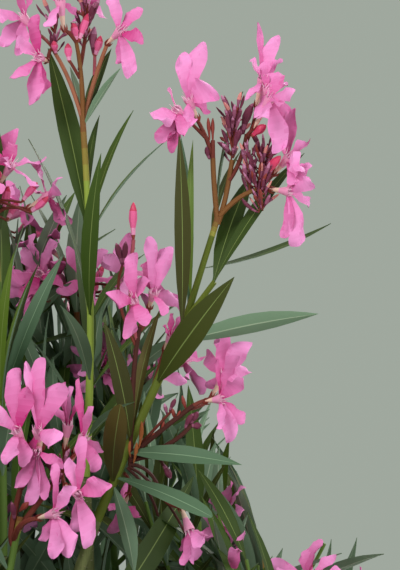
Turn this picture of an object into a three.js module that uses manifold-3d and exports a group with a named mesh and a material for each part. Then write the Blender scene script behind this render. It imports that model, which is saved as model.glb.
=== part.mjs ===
// A potted oleander: canes rise from the soil of a round pot, fork into boughs, and end in leafy shoots
// with pink blossom. Millimetres, +Z up, +Y away from the viewer, origin at the middle of the pot's foot.
import * as THREE from "three";
import { mergeVertices } from "three/addons/utils/BufferGeometryUtils.js";
import Module from "manifold-3d";

const wasm = await Module();
wasm.setup();

// Pot and soil
const POT_HEIGHT = 250;
const POT_FOOT_RADIUS = 100;
const POT_TOP_RADIUS = 132;
const POT_WALL = 4;
const POT_FLOOR = 6;
const RIM_HEIGHT = 34;
const RIM_OUT = 8;
const SOIL_TOP = 225;
const POT_SEGMENTS = 36;

// Wood
const CLEARANCE = 0.3;
const GRID = 0.0012;
const CANE_FOOT_RADIUS = 7.5;
const CANE_TIP_RADIUS = 5.2;
const FLARE = 5.5;
const FLARE_HEIGHT = 14;
const BOUGH_ROOT_RADIUS = 4.4;
const STEM_ROOT_RADIUS = 3.2;
const STEM_TIP_RADIUS = 2;
const STALK_RADIUS = 1.1;
const STALK_STEP = 1.3;

// Leaves stand in threes, and each three is turned by 60 degrees from the last
const LEAF_LENGTH = 122;
const LEAF_WIDTH = 17;
const LEAF_THICKNESS = 1.6;
const LEAF_WIDEST = 0.46;
const LEAF_SAG = 0.05;
const ROOT_DEPTH = 1.8;
const MOST_TRIES = 12;
const TRY_STEP = 0.1;
const WHORL_STEP = 34;
const YOUNG_SPREAD = 22;
const OLD_SPREAD = 62;
const LEAF_LIFT = 0.12;

// Blossom
const FLOWER_RADIUS = 24;
const FLOWER_DEPTH = 17;
const THROAT_DEPTH = 7;
const PETALS = 5;
const BUD_LENGTH = 16;
const BUD_RADIUS = 2.6;
const BUD_SPACE = 5;

const UP = new THREE.Vector3(0, 0, 1);
const DEGREE = Math.PI / 180;
const TO_VIEWER = new THREE.Vector3(0, -1, 0);

// Canes: foot on the soil and tip
const CANES = [
  { name: "cane_centre", foot: [3, 4], tip: [5, 8, 500] },
  { name: "cane_front", foot: [-4, -27], tip: [-14, -30, 470] },
  { name: "cane_front_left", foot: [-32, -15], tip: [-46, -42, 440] },
  { name: "cane_left", foot: [-34, 15], tip: [-50, 14, 455] },
  { name: "cane_back_left", foot: [-10, 35], tip: [-42, 66, 440] },
  { name: "cane_back", foot: [20, 35], tip: [32, 74, 430] },
  { name: "cane_right", foot: [32, -2], tip: [58, -2, 420] },
];

// Boughs: the share of the limb they leave at (1 is its tip), and their tip
const BOUGHS = [
  { name: "bough_middle", on: "cane_centre", share: 1, tip: [3, 2, 640] },
  { name: "bough_inner_back", on: "cane_centre", share: 0.8, tip: [2, 84, 570] },
  { name: "bough_leaning", on: "cane_front", share: 1, tip: [11, -16, 614] },
  { name: "bough_low_front", on: "cane_front_left", share: 1, tip: [-42, -66, 570] },
  { name: "bough_front_left", on: "cane_front_left", share: 0.78, tip: [-98, -74, 520] },
  { name: "bough_upright_left", on: "cane_left", share: 1, tip: [-49, 6, 590] },
  { name: "bough_far_left", on: "cane_left", share: 0.8, tip: [-112, 2, 540] },
  { name: "bough_rear_left", on: "cane_back_left", share: 1, tip: [-64, 104, 570] },
  { name: "bough_outer_left", on: "cane_back_left", share: 0.78, tip: [-112, 84, 520] },
  { name: "bough_rear", on: "cane_back", share: 1, tip: [22, 122, 540] },
  { name: "bough_rear_right", on: "cane_back", share: 0.76, tip: [92, 100, 480] },
  { name: "bough_right", on: "cane_right", share: 1, tip: [104, -12, 486] },
  { name: "bough_inner_right", on: "cane_right", share: 0.82, tip: [70, 48, 520] },
];

// Shoots that the front view shows leaf by leaf. An axis is a root, a tip and its two radii.
// A leaf is: axis, height of its root, tip x, y, z, width, and the share of its width that faces the
// viewer, below zero for the underside. A flower is: x, y, z, turn, tilt and spin in degrees, and its size.
// A bud is its tip. Stalks of both start from the fork named with them.
const SHOWN_SHOOTS = [
  {
    name: "shoot_upright",
    on: "bough_middle",
    axes: [[[3, 2, 640], [1.5, 0, 866], 3, 2.1]],
    leaves: [
      [0, 664, -28, -34, 727, 9, -0.25],
      [0, 667, 36, -58, 690, 9, -0.5],
      [0, 660, 48, 70, 708, 13, 0.6],
      [0, 702, -7, 52, 791, 12, 0.75],
      [0, 704, -12, -84, 748, 12, -0.8],
      [0, 698, 66, 22, 752, 11, 0.3],
      [0, 745, 15.5, -58, 839, 12, -0.9],
      [0, 743, -33, 12, 852, 9, 0.15],
      [0, 741, 38, 70, 780, 11, 0.5],
      [0, 797, -20, 28, 908, 14.5, 0.95],
      [0, 795, 34, -30, 867, 10, -0.45],
      [0, 794, 52, 42, 852, 10, 0.12],
      [0, 813, 11, 26, 868, 8, 0.7],
      [0, 835, -14, -34, 882, 8, -0.5],
      [0, 864, 25.5, -14, 894, 6, -0.7],
      [0, 866, 19, 22, 910, 9, 0.8],
    ],
    forks: [
      {
        from: [1.5, 0, 866],
        flowers: [
          [-30, -8, 884, -35, -42, 10, 1],
          [-22, 12, 912, -50, 5, 0, 0.95],
        ],
        buds: [[-8, -12, 902]],
      },
      {
        from: [1.5, 0, 866],
        flowers: [
          [27, -6, 914, 38, 18, 20, 1],
          [6, 26, 926, 150, 30, 0, 0.9],
        ],
        buds: [[-1, -4, 928], [8, -16, 912]],
      },
    ],
  },
  {
    name: "shoot_leaning",
    on: "bough_leaning",
    axes: [
      [[11, -16, 614], [66, -8, 738], 3.1, 2.7],
      [[66, -8, 738], [86, -5, 802], 2.5, 1.9],
      [[66, -8, 738], [84, -16, 762], 2.3, 1.7],
    ],
    leaves: [
      [0, 639, 24, -88, 686, 14.5, 0.95],
      [0, 639, 82, -60, 617, 12, 0.75],
      [0, 639, 36, -66, 588, 12, -0.9],
      [0, 665, 17, -54, 738, 13, 0.85],
      [0, 659, 100, -46, 646, 13, 0.8],
      [0, 668, 52, 62, 748, 9, 0.4],
      [0, 701, 95, -70, 765, 18, 0.97],
      [1, 738, 147, -38, 742, 13.5, -0.9],
      [1, 741, 61, 26, 851, 12, 0.85],
      [1, 752, 64, 42, 854, 12, 0.5],
      [1, 762, 72.5, -36, 850, 9, -0.45],
      [2, 760, 156, -44, 798, 10, 0.2],
      [2, 761, 109, 38, 832, 14, 0.9],
      [2, 761, 141, 26, 844, 11, 0.7],
      [1, 790, 101, 32, 846, 8, 0.5],
      [1, 800, 102, 14, 882, 7, 0.15],
    ],
    forks: [
      {
        from: [86, -5, 802],
        flowers: [
          [68, -14, 878, 12, 16, 0, 1.05],
          [61, -22, 866, -38, -24, 30, 0.95],
        ],
        buds: [[79, -10, 862], [76, -2, 858]],
      },
      {
        from: [86, -5, 802],
        flowers: [
          [114, -4, 893, 70, 30, 0, 1.05],
          [117, -22, 872, 28, -16, 20, 1.05],
        ],
        buds: [[98, -8, 872], [105, -2, 868]],
      },
      {
        from: [86, -5, 802],
        flowers: [
          [134, -10, 846, 62, 8, 0, 0.9],
          [131, -18, 819, 40, -6, 25, 1.05],
        ],
        buds: [[114, -12, 830], [102, 0, 842]],
      },
      {
        from: [35, -12, 668],
        flowers: [
          [32, -26, 750, -10, 4, 0, 0.95],
          [47, -14, 757, 30, 14, 20, 0.95],
        ],
        buds: [[33, -18, 810], [26, -20, 782]],
      },
      {
        from: [36, -12, 670],
        flowers: [
          [90, -30, 689, 16, -10, 10, 1.05],
          [85, -6, 712, 60, 16, 0, 0.95],
        ],
        buds: [[76, -14, 700]],
      },
      {
        from: [32, -12, 660],
        flowers: [
          [68, -32, 606, 40, -34, 0, 0.9],
        ],
        buds: [[54, -22, 612]],
      },
    ],
  },
  {
    name: "shoot_low_front",
    on: "bough_low_front",
    axes: [[[-42, -66, 570], [-32, -66, 622], 3, 2.1]],
    leaves: [
      [0, 590, -78, -104, 642, 13, -0.8],
      [0, 592, 12, -112, 560, 14, 0.8],
      [0, 594, -96, -44, 612, 13, 0.8],
      [0, 612, -24, -20, 704, 13, 0.6],
      [0, 614, 12, -20, 678, 11, 0.5],
    ],
    forks: [
      {
        from: [-32, -66, 622],
        flowers: [
          [-40, -82, 671, -14, 8, 0, 1],
          [-25, -90, 667, 14, 10, 25, 1],
        ],
        buds: [[-16, -70, 700]],
      },
      {
        from: [-32, -66, 622],
        flowers: [
          [0, -74, 675, 74, 10, 0, 0.95],
          [2, -84, 634, 26, -12, 12, 1.05],
        ],
        buds: [[14, -70, 655]],
      },
      {
        from: [-32, -66, 622],
        flowers: [
          [-28, -98, 638, -16, -30, 8, 1.05],
          [-12, -92, 612, 22, -26, 30, 1],
        ],
        buds: [[-48, -84, 640]],
      },
    ],
  },
  {
    name: "shoot_upright_left",
    on: "bough_upright_left",
    axes: [[[-49, 6, 590], [-54, 8, 800], 3, 2.1]],
    leaves: [
      [0, 640, -118, 34, 706, 13, 0.7],
      [0, 642, -32, -62, 700, 12, -0.7],
      [0, 644, -30, 74, 708, 13, 0.8],
      [0, 686, -40, -20, 780, 9, 0.8],
      [0, 690, -28, 34, 774, 9, 0.6],
      [0, 696, -35, -4, 797, 9, 0.2],
      [0, 690, -11, 8, 779, 12, 0.85],
      [0, 680, -29, -34, 762, 10, 0.25],
      [0, 700, -98, -30, 780, 13, 0.7],
      [0, 742, -112, 44, 806, 13, 0.6],
      [0, 744, -86, -38, 820, 12, -0.6],
      [0, 746, -58, 64, 822, 12, 0.8],
      [0, 780, -84, -20, 862, 11, 0.5],
      [0, 784, -58, 34, 872, 10, 0.8],
    ],
    forks: [
      {
        from: [-54, 8, 800],
        flowers: [
          [-74, -14, 850, -30, 20, 0, 1],
          [-50, -20, 862, 8, 32, 20, 1],
        ],
        buds: [[-62, -8, 876]],
      },
      {
        from: [-54, 8, 800],
        flowers: [
          [-82, 18, 862, -80, 30, 0, 1],
          [-62, 30, 880, -170, 40, 20, 1],
        ],
        buds: [[-70, 6, 884]],
      },
    ],
  },
];

// Shoots that grow by rule: the limb and share they leave at, their tip, heads of blossom, and seed
const RULED_SHOOTS = [
  { name: "shoot_inner_back", on: "bough_inner_back", share: 1, tip: [-8, 106, 742], heads: 2, seed: 51 },
  { name: "shoot_front_left", on: "bough_front_left", share: 1, tip: [-136, -98, 690], heads: 1, seed: 12 },
  { name: "shoot_far_left", on: "bough_far_left", share: 1, tip: [-148, 4, 750], heads: 2, seed: 41 },
  { name: "shoot_rear_left", on: "bough_rear_left", share: 1, tip: [-84, 120, 790], heads: 2, seed: 14 },
  { name: "shoot_outer_left", on: "bough_outer_left", share: 1, tip: [-142, 96, 680], heads: 1, seed: 71 },
  { name: "shoot_rear", on: "bough_rear", share: 1, tip: [26, 146, 690], heads: 1, seed: 16 },
  { name: "shoot_rear_right", on: "bough_rear_right", share: 1, tip: [116, 114, 580], heads: 1, seed: 17 },
  { name: "shoot_right", on: "bough_right", share: 1, tip: [134, -20, 556], heads: 1, seed: 18 },
  { name: "shoot_inner_right", on: "bough_inner_right", share: 1, tip: [74, 60, 606], heads: 0, seed: 19 },
  { name: "shoot_low_front_a", on: "cane_front", share: 0.62, tip: [2, -122, 490], heads: 1, seed: 21 },
  { name: "shoot_low_right_a", on: "cane_right", share: 0.5, tip: [122, -72, 430], heads: 1, seed: 61 },
  { name: "shoot_low_rear_right", on: "cane_back", share: 0.48, tip: [96, 104, 400], heads: 0, seed: 23 },
  { name: "shoot_low_rear", on: "cane_back_left", share: 0.5, tip: [-60, 140, 440], heads: 1, seed: 24 },
  { name: "shoot_low_left", on: "cane_left", share: 0.45, tip: [-130, 30, 410], heads: 0, seed: 25 },
  { name: "shoot_low_corner", on: "cane_front_left", share: 0.42, tip: [-100, -100, 410], heads: 1, seed: 26 },
  { name: "shoot_low_front_b", on: "cane_right", share: 0.72, tip: [72, -104, 510], heads: 0, seed: 27 },
  { name: "shoot_side_front", on: "bough_low_front", share: 0.4, tip: [-62, -126, 560], heads: 1, seed: 52 },
  { name: "shoot_side_left", on: "bough_far_left", share: 0.5, tip: [-152, -48, 600], heads: 1, seed: 32 },
  { name: "shoot_side_corner", on: "bough_rear_left", share: 0.45, tip: [-106, 140, 600], heads: 1, seed: 33 },
  { name: "shoot_side_rear", on: "bough_rear", share: 0.45, tip: [-18, 150, 590], heads: 1, seed: 34 },
  { name: "shoot_side_right", on: "bough_right", share: 0.45, tip: [138, 48, 530], heads: 1, seed: 35 },
  { name: "shoot_side_leaning", on: "bough_leaning", share: 0.4, tip: [58, -96, 566], heads: 0, seed: 72 },
  { name: "shoot_low_right_b", on: "cane_right", share: 0.3, tip: [128, 30, 390], heads: 0, seed: 62 },
];

// The crown: nothing ruled hangs lower than this, or stands in the open air right of the upright shoots
const CROWN_FOOT = 268;
const CROWN_RADIUS = 222;
const OPEN_AIR_FOOT = 590;
const OPEN_AIR_LEFT = 125;
const OPEN_AIR_SLOPE = 0.45;
const FRONT_LIMIT = -42;

const BARK = new THREE.MeshStandardMaterial({ color: 0x6b5d45, roughness: 0.9, metalness: 0 });
const GREEN = new THREE.MeshStandardMaterial({ color: 0x4c6b34, roughness: 0.55, metalness: 0 });
const CLAY = new THREE.MeshStandardMaterial({ color: 0xb0603c, roughness: 0.8, metalness: 0 });
const EARTH = new THREE.MeshStandardMaterial({ color: 0x3b2c20, roughness: 1, metalness: 0 });

// Repeatable numbers between 0 and 1
class Dice {
  constructor(seed) {
    this.state = seed * 7919;
  }

  between(low, high) {
    this.state = (this.state * 1664525 + 1013904223) % 4294967296;
    return low + ((high - low) * this.state) / 4294967296;
  }
}

const vector = (list) => new THREE.Vector3(...list);

// The direction at an angle from one direction towards another that is square to it
function between(from, towards, angle) {
  return from.clone().multiplyScalar(Math.cos(angle)).addScaledVector(towards, Math.sin(angle));
}

const mix = (a, b, share) => a + (b - a) * share;

// A bow between two points that sets out along a direction
function bow(root, tip, direction) {
  const reach = root.distanceTo(tip) * 0.45;
  return new THREE.QuadraticBezierCurve3(root, root.clone().addScaledVector(direction, reach), tip);
}

// Two directions across a limb, the same all along it
function across(direction, tangent) {
  const guide = Math.abs(direction.y) < 0.9 * direction.length() ? TO_VIEWER : UP;
  const side = new THREE.Vector3().crossVectors(tangent, guide).normalize();
  const other = new THREE.Vector3().crossVectors(side, tangent).normalize();
  return [side, other];
}

// A closed geometry as a solid that can be cut and joined
function solid(geometry) {
  geometry.deleteAttribute("normal");
  geometry.deleteAttribute("uv");
  const merged = mergeVertices(geometry, 1e-4);
  return new wasm.Manifold(
    new wasm.Mesh({
      numProp: 3,
      vertProperties: new Float32Array(merged.attributes.position.array),
      triVerts: new Uint32Array(merged.index.array),
    }),
  );
}

// A round limb along a curve: a cylinder, rolled about its axis, whose rings are carried there
function limb(curve, radiusAt, sides, rings, roll = 0) {
  const shape = new THREE.CylinderGeometry(1, 1, 1, sides, rings).rotateY(roll);
  const place = shape.attributes.position;
  const chord = curve.getPoint(1).sub(curve.getPoint(0));
  for (let i = 0; i < place.count; i++) {
    const share = place.getY(i) + 0.5;
    const tangent = curve.getTangent(share);
    const [side, other] = across(chord, tangent);
    const radius = radiusAt(share);
    const point = curve.getPoint(share);
    point.addScaledVector(side, place.getX(i) * radius);
    point.addScaledVector(other, place.getZ(i) * radius);
    place.setXYZ(i, point.x, point.y, point.z);
  }
  return solid(shape);
}

// A leaf: eight faces from root to tip, widest below its middle, arched along its normal
function leafSolid(leaf, rootDepth) {
  const shape = new THREE.OctahedronGeometry(1);
  const place = shape.attributes.position;
  const along = leaf.tip.clone().sub(leaf.root);
  const length = along.length();
  const direction = along.clone().normalize();
  const side = new THREE.Vector3().crossVectors(leaf.normal, direction).normalize();
  for (let i = 0; i < place.count; i++) {
    const end = place.getZ(i);
    const share = end < -0.5 ? -rootDepth / length : end > 0.5 ? 1 : LEAF_WIDEST;
    const rise = end * end > 0.25 ? 0 : LEAF_SAG * length;
    const point = leaf.root.clone().addScaledVector(along, share);
    point.addScaledVector(side, (place.getX(i) * leaf.width) / 2);
    point.addScaledVector(leaf.normal, (place.getY(i) * LEAF_THICKNESS) / 2 + rise);
    place.setXYZ(i, point.x, point.y, point.z);
  }
  return solid(shape);
}

// A flower: a star of five petals on a tapering tube
function flowerSolid(flower) {
  const shape = new THREE.ConeGeometry(1, 1, 2 * PETALS, 1);
  const place = shape.attributes.position;
  const [side, other] = petalDirections(flower);
  for (let i = 0; i < place.count; i++) {
    const ring = Math.hypot(place.getX(i), place.getZ(i));
    const corner = Math.round((Math.atan2(place.getX(i), place.getZ(i)) * PETALS) / Math.PI);
    const radius = ring < 0.5 ? 0 : FLOWER_RADIUS * flower.size * (corner % 2 ? 0.52 : 1);
    const atBack = place.getY(i) > 0;
    const depth = atBack ? FLOWER_DEPTH : ring < 0.5 ? THROAT_DEPTH : 0;
    const point = flower.centre.clone().addScaledVector(flower.facing, -depth * flower.size);
    if (!atBack && ring > 0.5) {
      point.addScaledVector(side, (place.getX(i) / ring) * radius);
      point.addScaledVector(other, (place.getZ(i) / ring) * radius);
    }
    place.setXYZ(i, point.x, point.y, point.z);
  }
  return solid(shape);
}

// The two directions in a flower's plane, turned by its spin
function petalDirections(flower) {
  const [level, upright] = across(flower.facing, flower.facing);
  const turn = flower.spin * DEGREE;
  const side = between(level, upright, turn);
  const other = new THREE.Vector3().crossVectors(side, flower.facing).negate();
  return [side, other];
}

// A bud: eight faces from its stalk to its point
function budSolid(bud) {
  const shape = new THREE.OctahedronGeometry(1);
  const place = shape.attributes.position;
  const [side, other] = across(bud.direction, bud.direction);
  for (let i = 0; i < place.count; i++) {
    const point = bud.tip.clone().addScaledVector(bud.direction, ((place.getZ(i) - 1) * BUD_LENGTH) / 2);
    point.addScaledVector(other, place.getX(i) * BUD_RADIUS);
    point.addScaledVector(side, place.getY(i) * BUD_RADIUS);
    place.setXYZ(i, point.x, point.y, point.z);
  }
  return solid(shape);
}

// Every place that is taken: a point, a radius and whose it is
const taken = [];

function take(owner, points) {
  for (const { at, radius } of points) taken.push({ owner, at, radius });
}

function isFree(owner, points) {
  return points.every(({ at, radius }) =>
    taken.every((other) => other.owner === owner || other.at.distanceTo(at) > other.radius + radius + 1),
  );
}

const TAKEN_STEPS = 12;
const TAKEN_SHARE = 0.44;

function placesOnCurve(curve, radiusAt) {
  const places = [];
  for (let i = 0; i <= 2 * TAKEN_STEPS; i++) {
    const share = i / (2 * TAKEN_STEPS);
    places.push({ at: curve.getPoint(share), radius: radiusAt(share) });
  }
  return places;
}

function placesOnLeaf(leaf) {
  const places = [];
  const length = leaf.root.distanceTo(leaf.tip);
  for (let i = 1; i <= TAKEN_STEPS; i++) {
    const share = i / TAKEN_STEPS;
    const arch = share < LEAF_WIDEST ? share / LEAF_WIDEST : (1 - share) / (1 - LEAF_WIDEST);
    const at = leaf.root.clone().lerp(leaf.tip, share).addScaledVector(leaf.normal, arch * LEAF_SAG * length);
    places.push({ at, radius: TAKEN_SHARE * leaf.width * arch + 0.6 });
  }
  return places;
}

function placesOnFlower(flower) {
  const [side, other] = petalDirections(flower);
  const places = [{ at: flower.centre.clone(), radius: 9 }];
  for (let i = 0; i < PETALS; i++) {
    const angle = (i * 2 * Math.PI) / PETALS;
    const outward = between(other, side, angle);
    for (const share of [0.45, 0.8]) {
      const at = flower.centre.clone().addScaledVector(outward, FLOWER_RADIUS * flower.size * share);
      places.push({ at, radius: 8 - 4 * share });
    }
  }
  return places;
}

// Whether a ruled leaf or flower stays inside the crown and out of the open air
function isInCrown(places) {
  return places.every(({ at }) => {
    const inRound = Math.hypot(at.x + 10, at.y) < CROWN_RADIUS && at.z > CROWN_FOOT;
    const high = at.z - OPEN_AIR_FOOT;
    const inOpenAir = high > 0 && at.x > OPEN_AIR_LEFT - OPEN_AIR_SLOPE * high;
    const inFront = high > -10 && at.x > -62 && at.y < FRONT_LIMIT;
    return inRound && !inOpenAir && !inFront;
  });
}

// Limbs, by name: each holds its curve, its radius along the way, and how finely it is made
const limbs = new Map();

function addLimb(name, curve, radiusAt, sides, rings) {
  limbs.set(name, { curve, radiusAt, sides, rings });
  take(name, placesOnCurve(curve, radiusAt));
}

// Where something leaves a limb: clear of its tip, or from the middle of its wood
function leave(on, share) {
  const parent = limbs.get(on);
  const tangent = parent.curve.getTangent(share);
  const root = parent.curve.getPoint(share);
  return share === 1 ? { root: root.addScaledVector(tangent, CLEARANCE), tangent } : { root, tangent };
}

// A solid cut clear of the limb that it leaves
function cutClear(made, on, share) {
  if (share === 1) return made;
  const { curve, radiusAt, sides, rings } = limbs.get(on);
  return made.subtract(limb(curve, (along) => radiusAt(along) + CLEARANCE, sides, rings));
}

const CANE_SIDES = 8;
const CANE_RINGS = 6;
const BOUGH_SIDES = 6;
const BOUGH_RINGS = 5;
const STEM_SIDES = 4;
const STEM_RINGS = 4;
const caneRadius = (height) => (share) =>
  mix(CANE_FOOT_RADIUS, CANE_TIP_RADIUS, share) + FLARE * Math.exp((-share * height) / FLARE_HEIGHT);

for (const cane of CANES) {
  const foot = vector([...cane.foot, SOIL_TOP + CLEARANCE]);
  const tip = vector(cane.tip);
  addLimb(cane.name, bow(foot, tip, UP), caneRadius(foot.distanceTo(tip)), CANE_SIDES, CANE_RINGS);
}

for (const bough of BOUGHS) {
  const { root, tangent } = leave(bough.on, bough.share);
  const tip = vector(bough.tip);
  const outward = tip.clone().sub(root).normalize();
  const setOut = tangent.clone().lerp(outward, bough.share === 1 ? 0 : 0.6).normalize();
  const rootRadius = bough.share === 1 ? CANE_TIP_RADIUS : BOUGH_ROOT_RADIUS;
  const radiusAt = (share) => mix(rootRadius, STEM_ROOT_RADIUS, share);
  addLimb(bough.name, bow(root, tip, setOut), radiusAt, BOUGH_SIDES, BOUGH_RINGS);
}

// A shoot is a list of stalks, leaves, flowers and buds, which later become one solid
function newShoot(name) {
  return { name, stalks: [], leaves: [], flowers: [], buds: [] };
}

function addStalk(shoot, curve, rootRadius, tipRadius, sides, rings) {
  const radiusAt = (share) => mix(rootRadius, tipRadius, share);
  shoot.stalks.push({ curve, radiusAt, sides, rings, roll: shoot.stalks.length });
  take(shoot.name, placesOnCurve(curve, radiusAt));
}

function facingOf(turn, tilt) {
  const [flat, rise] = [Math.cos(tilt * DEGREE), Math.sin(tilt * DEGREE)];
  return new THREE.Vector3(Math.sin(turn * DEGREE) * flat, -Math.cos(turn * DEGREE) * flat, rise);
}

// The root of a shoot's next stalk of blossom: each one a little lower than the last, and apart from it
function stalkRoot(shoot, fork, rising) {
  return fork.clone().addScaledVector(rising, -STALK_STEP * (shoot.flowers.length + shoot.buds.length));
}

// A flower on a bent stalk from its fork
function addFlower(shoot, fork, rising, flower) {
  const back = flower.centre.clone().addScaledVector(flower.facing, -0.62 * FLOWER_DEPTH * flower.size);
  const root = stalkRoot(shoot, fork, rising);
  addStalk(shoot, bow(root, back, rising), STALK_RADIUS, STALK_RADIUS * 0.8, 3, 2);
  shoot.flowers.push(flower);
  take(shoot.name, placesOnFlower(flower));
}

function addBud(shoot, fork, tip, rising) {
  const direction = tip.clone().sub(fork).normalize().lerp(rising, 0.35).normalize();
  const foot = tip.clone().addScaledVector(direction, -0.7 * BUD_LENGTH);
  const root = stalkRoot(shoot, fork, rising);
  addStalk(shoot, bow(root, foot, rising), STALK_RADIUS, STALK_RADIUS * 0.8, 3, 1);
  shoot.buds.push({ tip, direction });
  take(shoot.name, [{ at: tip.clone().addScaledVector(direction, -BUD_LENGTH / 2), radius: BUD_SPACE }]);
}

// The blade's normal for a leaf that shows a given share of its width to the viewer
function shownNormal(root, tip, show) {
  const direction = tip.clone().sub(root).normalize();
  const level = new THREE.Vector3().crossVectors(direction, TO_VIEWER).normalize();
  const facing = new THREE.Vector3().crossVectors(level, direction).normalize();
  if (facing.dot(TO_VIEWER) < 0) facing.negate();
  const edge = Math.sqrt(1 - show * show);
  const turned = level.clone().multiplyScalar(level.z < 0 ? -edge : edge);
  return turned.addScaledVector(facing, show).normalize();
}

function growShown(plan) {
  const shoot = newShoot(plan.name);
  const parent = limbs.get(plan.on);
  const axes = plan.axes.map(([root, tip, rootRadius, tipRadius], i) => {
    const start = i ? vector(root) : leave(plan.on, 1).root;
    const end = vector(tip);
    const chord = end.clone().sub(start).normalize();
    const setOut = i ? chord : parent.curve.getTangent(1);
    const curve = bow(start, end, setOut);
    addStalk(shoot, curve, i ? rootRadius : STEM_ROOT_RADIUS, tipRadius, STEM_SIDES, STEM_RINGS);
    return { curve, foot: start.z, top: end.z };
  });
  for (const [axis, height, x, y, z, width, show] of plan.leaves) {
    const { curve, foot, top } = axes[axis];
    const root = curve.getPoint(Math.min(Math.max((height - foot) / (top - foot), 0.03), 0.97));
    const tip = vector([x, y, z]);
    const leaf = { root, tip, width, normal: shownNormal(root, tip, show) };
    shoot.leaves.push(leaf);
    take(shoot.name, placesOnLeaf(leaf));
  }
  for (const { from, flowers, buds } of plan.forks) {
    const fork = vector(from);
    for (const [x, y, z, turn, tilt, spin, size] of flowers) {
      const flower = { centre: vector([x, y, z]), facing: facingOf(turn, tilt), spin, size };
      addFlower(shoot, fork, UP, flower);
    }
    for (const bud of buds) addBud(shoot, fork, vector(bud), UP);
  }
  return shoot;
}

// The stem of a ruled shoot
function startRuled(plan) {
  const shoot = newShoot(plan.name);
  const { root, tangent } = leave(plan.on, plan.share);
  const tip = vector(plan.tip);
  const chord = tip.clone().sub(root);
  const setOut = tangent.clone().lerp(chord.clone().normalize(), plan.share === 1 ? 0 : 0.7).normalize();
  const stem = bow(root, tip, setOut);
  addStalk(shoot, stem, STEM_ROOT_RADIUS, STEM_TIP_RADIUS, STEM_SIDES, STEM_RINGS);
  return { shoot, plan, stem, reach: chord.length() };
}

// Threes of leaves up that stem, then heads of blossom at its tip
function clotheRuled({ shoot, plan, stem, reach }) {
  const dice = new Dice(plan.seed);
  const first = plan.share === 1 ? 14 : 34;
  const whorls = Math.max(2, Math.round((reach - first) / WHORL_STEP));
  for (let k = 0; k <= whorls; k++) {
    const share = mix(first / reach, 0.965, k / whorls);
    const age = 1 - k / whorls;
    addWhorl(shoot, stem, share, age, 60 * k + dice.between(0, 30), dice);
  }
  for (let k = 0; k < plan.heads; k++) addHead(shoot, stem, k, dice);
  return shoot;
}

function addWhorl(shoot, stem, share, age, turn, dice) {
  const root = stem.getPoint(share);
  const axis = stem.getTangent(share);
  const [side, other] = across(UP, axis);
  for (let k = 0; k < 3; k++) {
    const angle = (turn + 120 * k + dice.between(-12, 12)) * DEGREE;
    const spread = (mix(YOUNG_SPREAD, OLD_SPREAD, age) + dice.between(-9, 9)) * DEGREE;
    const length = LEAF_LENGTH * mix(0.72, 1, age) * dice.between(0.86, 1.12);
    const width = LEAF_WIDTH * mix(0.72, 1, age) * dice.between(0.86, 1.1);
    const outward = between(side, other, angle);
    const direction = between(axis, outward, spread);
    const lifted = direction.lerp(UP, LEAF_LIFT).normalize();
    const tip = root.clone().addScaledVector(lifted, length);
    const normal = axis.clone().addScaledVector(lifted, -axis.dot(lifted)).normalize();
    const leaf = { root, tip, width, normal };
    const places = placesOnLeaf(leaf);
    if (!isInCrown(places) || !isFree(shoot.name, places)) continue;
    shoot.leaves.push(leaf);
    take(shoot.name, places);
  }
}

function addHead(shoot, stem, number, dice) {
  const fork = stem.getPoint(0.93);
  const axis = stem.getTangent(1).lerp(UP, 0.4).normalize();
  const [side, other] = across(UP, axis);
  for (let k = 0; k < 3; k++) {
    const angle = (120 * k + 60 * number + dice.between(-20, 20)) * DEGREE;
    const spread = (k === 2 && number ? 8 : 48) * DEGREE;
    const reach = dice.between(44, 58) + 14 * number;
    const spin = dice.between(0, 72);
    const size = dice.between(0.9, 1.05);
    const outward = between(side, other, angle);
    const ray = between(axis, outward, spread);
    const centre = fork.clone().addScaledVector(ray, reach);
    const facing = ray.clone().lerp(outward, 0.45).addScaledVector(UP, 0.1).normalize();
    const flower = { centre, facing, spin, size };
    const places = placesOnFlower(flower);
    if (k === 2) {
      const tip = fork.clone().addScaledVector(ray, reach * 0.8);
      const place = [{ at: tip, radius: BUD_SPACE }];
      if (isInCrown(place) && isFree(shoot.name, place)) addBud(shoot, fork, tip, axis);
    } else if (isInCrown(places) && isFree(shoot.name, places)) {
      addFlower(shoot, fork, axis, flower);
    }
  }
}

// A joined solid's faces with its corners on a grid, without the faces that this closes
function gridFaces(made) {
  const { vertProperties, triVerts } = made.getMesh();
  const geometry = new THREE.BufferGeometry();
  const corners = Float32Array.from(vertProperties, (value) => Math.round(value / GRID) * GRID);
  geometry.setAttribute("position", new THREE.BufferAttribute(corners, 3));
  geometry.setIndex([...triVerts]);
  const merged = mergeVertices(geometry, GRID / 4);
  const faces = [];
  for (let i = 0; i < merged.index.count; i += 3) {
    const [a, b, c] = merged.index.array.slice(i, i + 3);
    if (a !== b && b !== c && c !== a) faces.push([a, b, c]);
  }
  return { corners: merged.attributes.position.array, faces };
}

// The solid on that grid, or nothing where more than two of its faces would share an edge
function settle(made) {
  const { corners, faces } = gridFaces(made);
  const triVerts = new Uint32Array(faces.flat());
  const whole = largest(new wasm.Manifold(new wasm.Mesh({ numProp: 3, vertProperties: corners, triVerts })));
  const edges = new Map();
  for (const face of gridFaces(whole).faces) {
    face.forEach((corner, i) => {
      const edge = [corner, face[(i + 1) % 3]].sort((a, b) => a - b).join();
      edges.set(edge, (edges.get(edge) ?? 0) + 1);
    });
  }
  return [...edges.values()].every((count) => count === 2) ? whole : null;
}

function largest(made) {
  return made.decompose().sort((a, b) => b.volume() - a.volume())[0];
}

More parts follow.
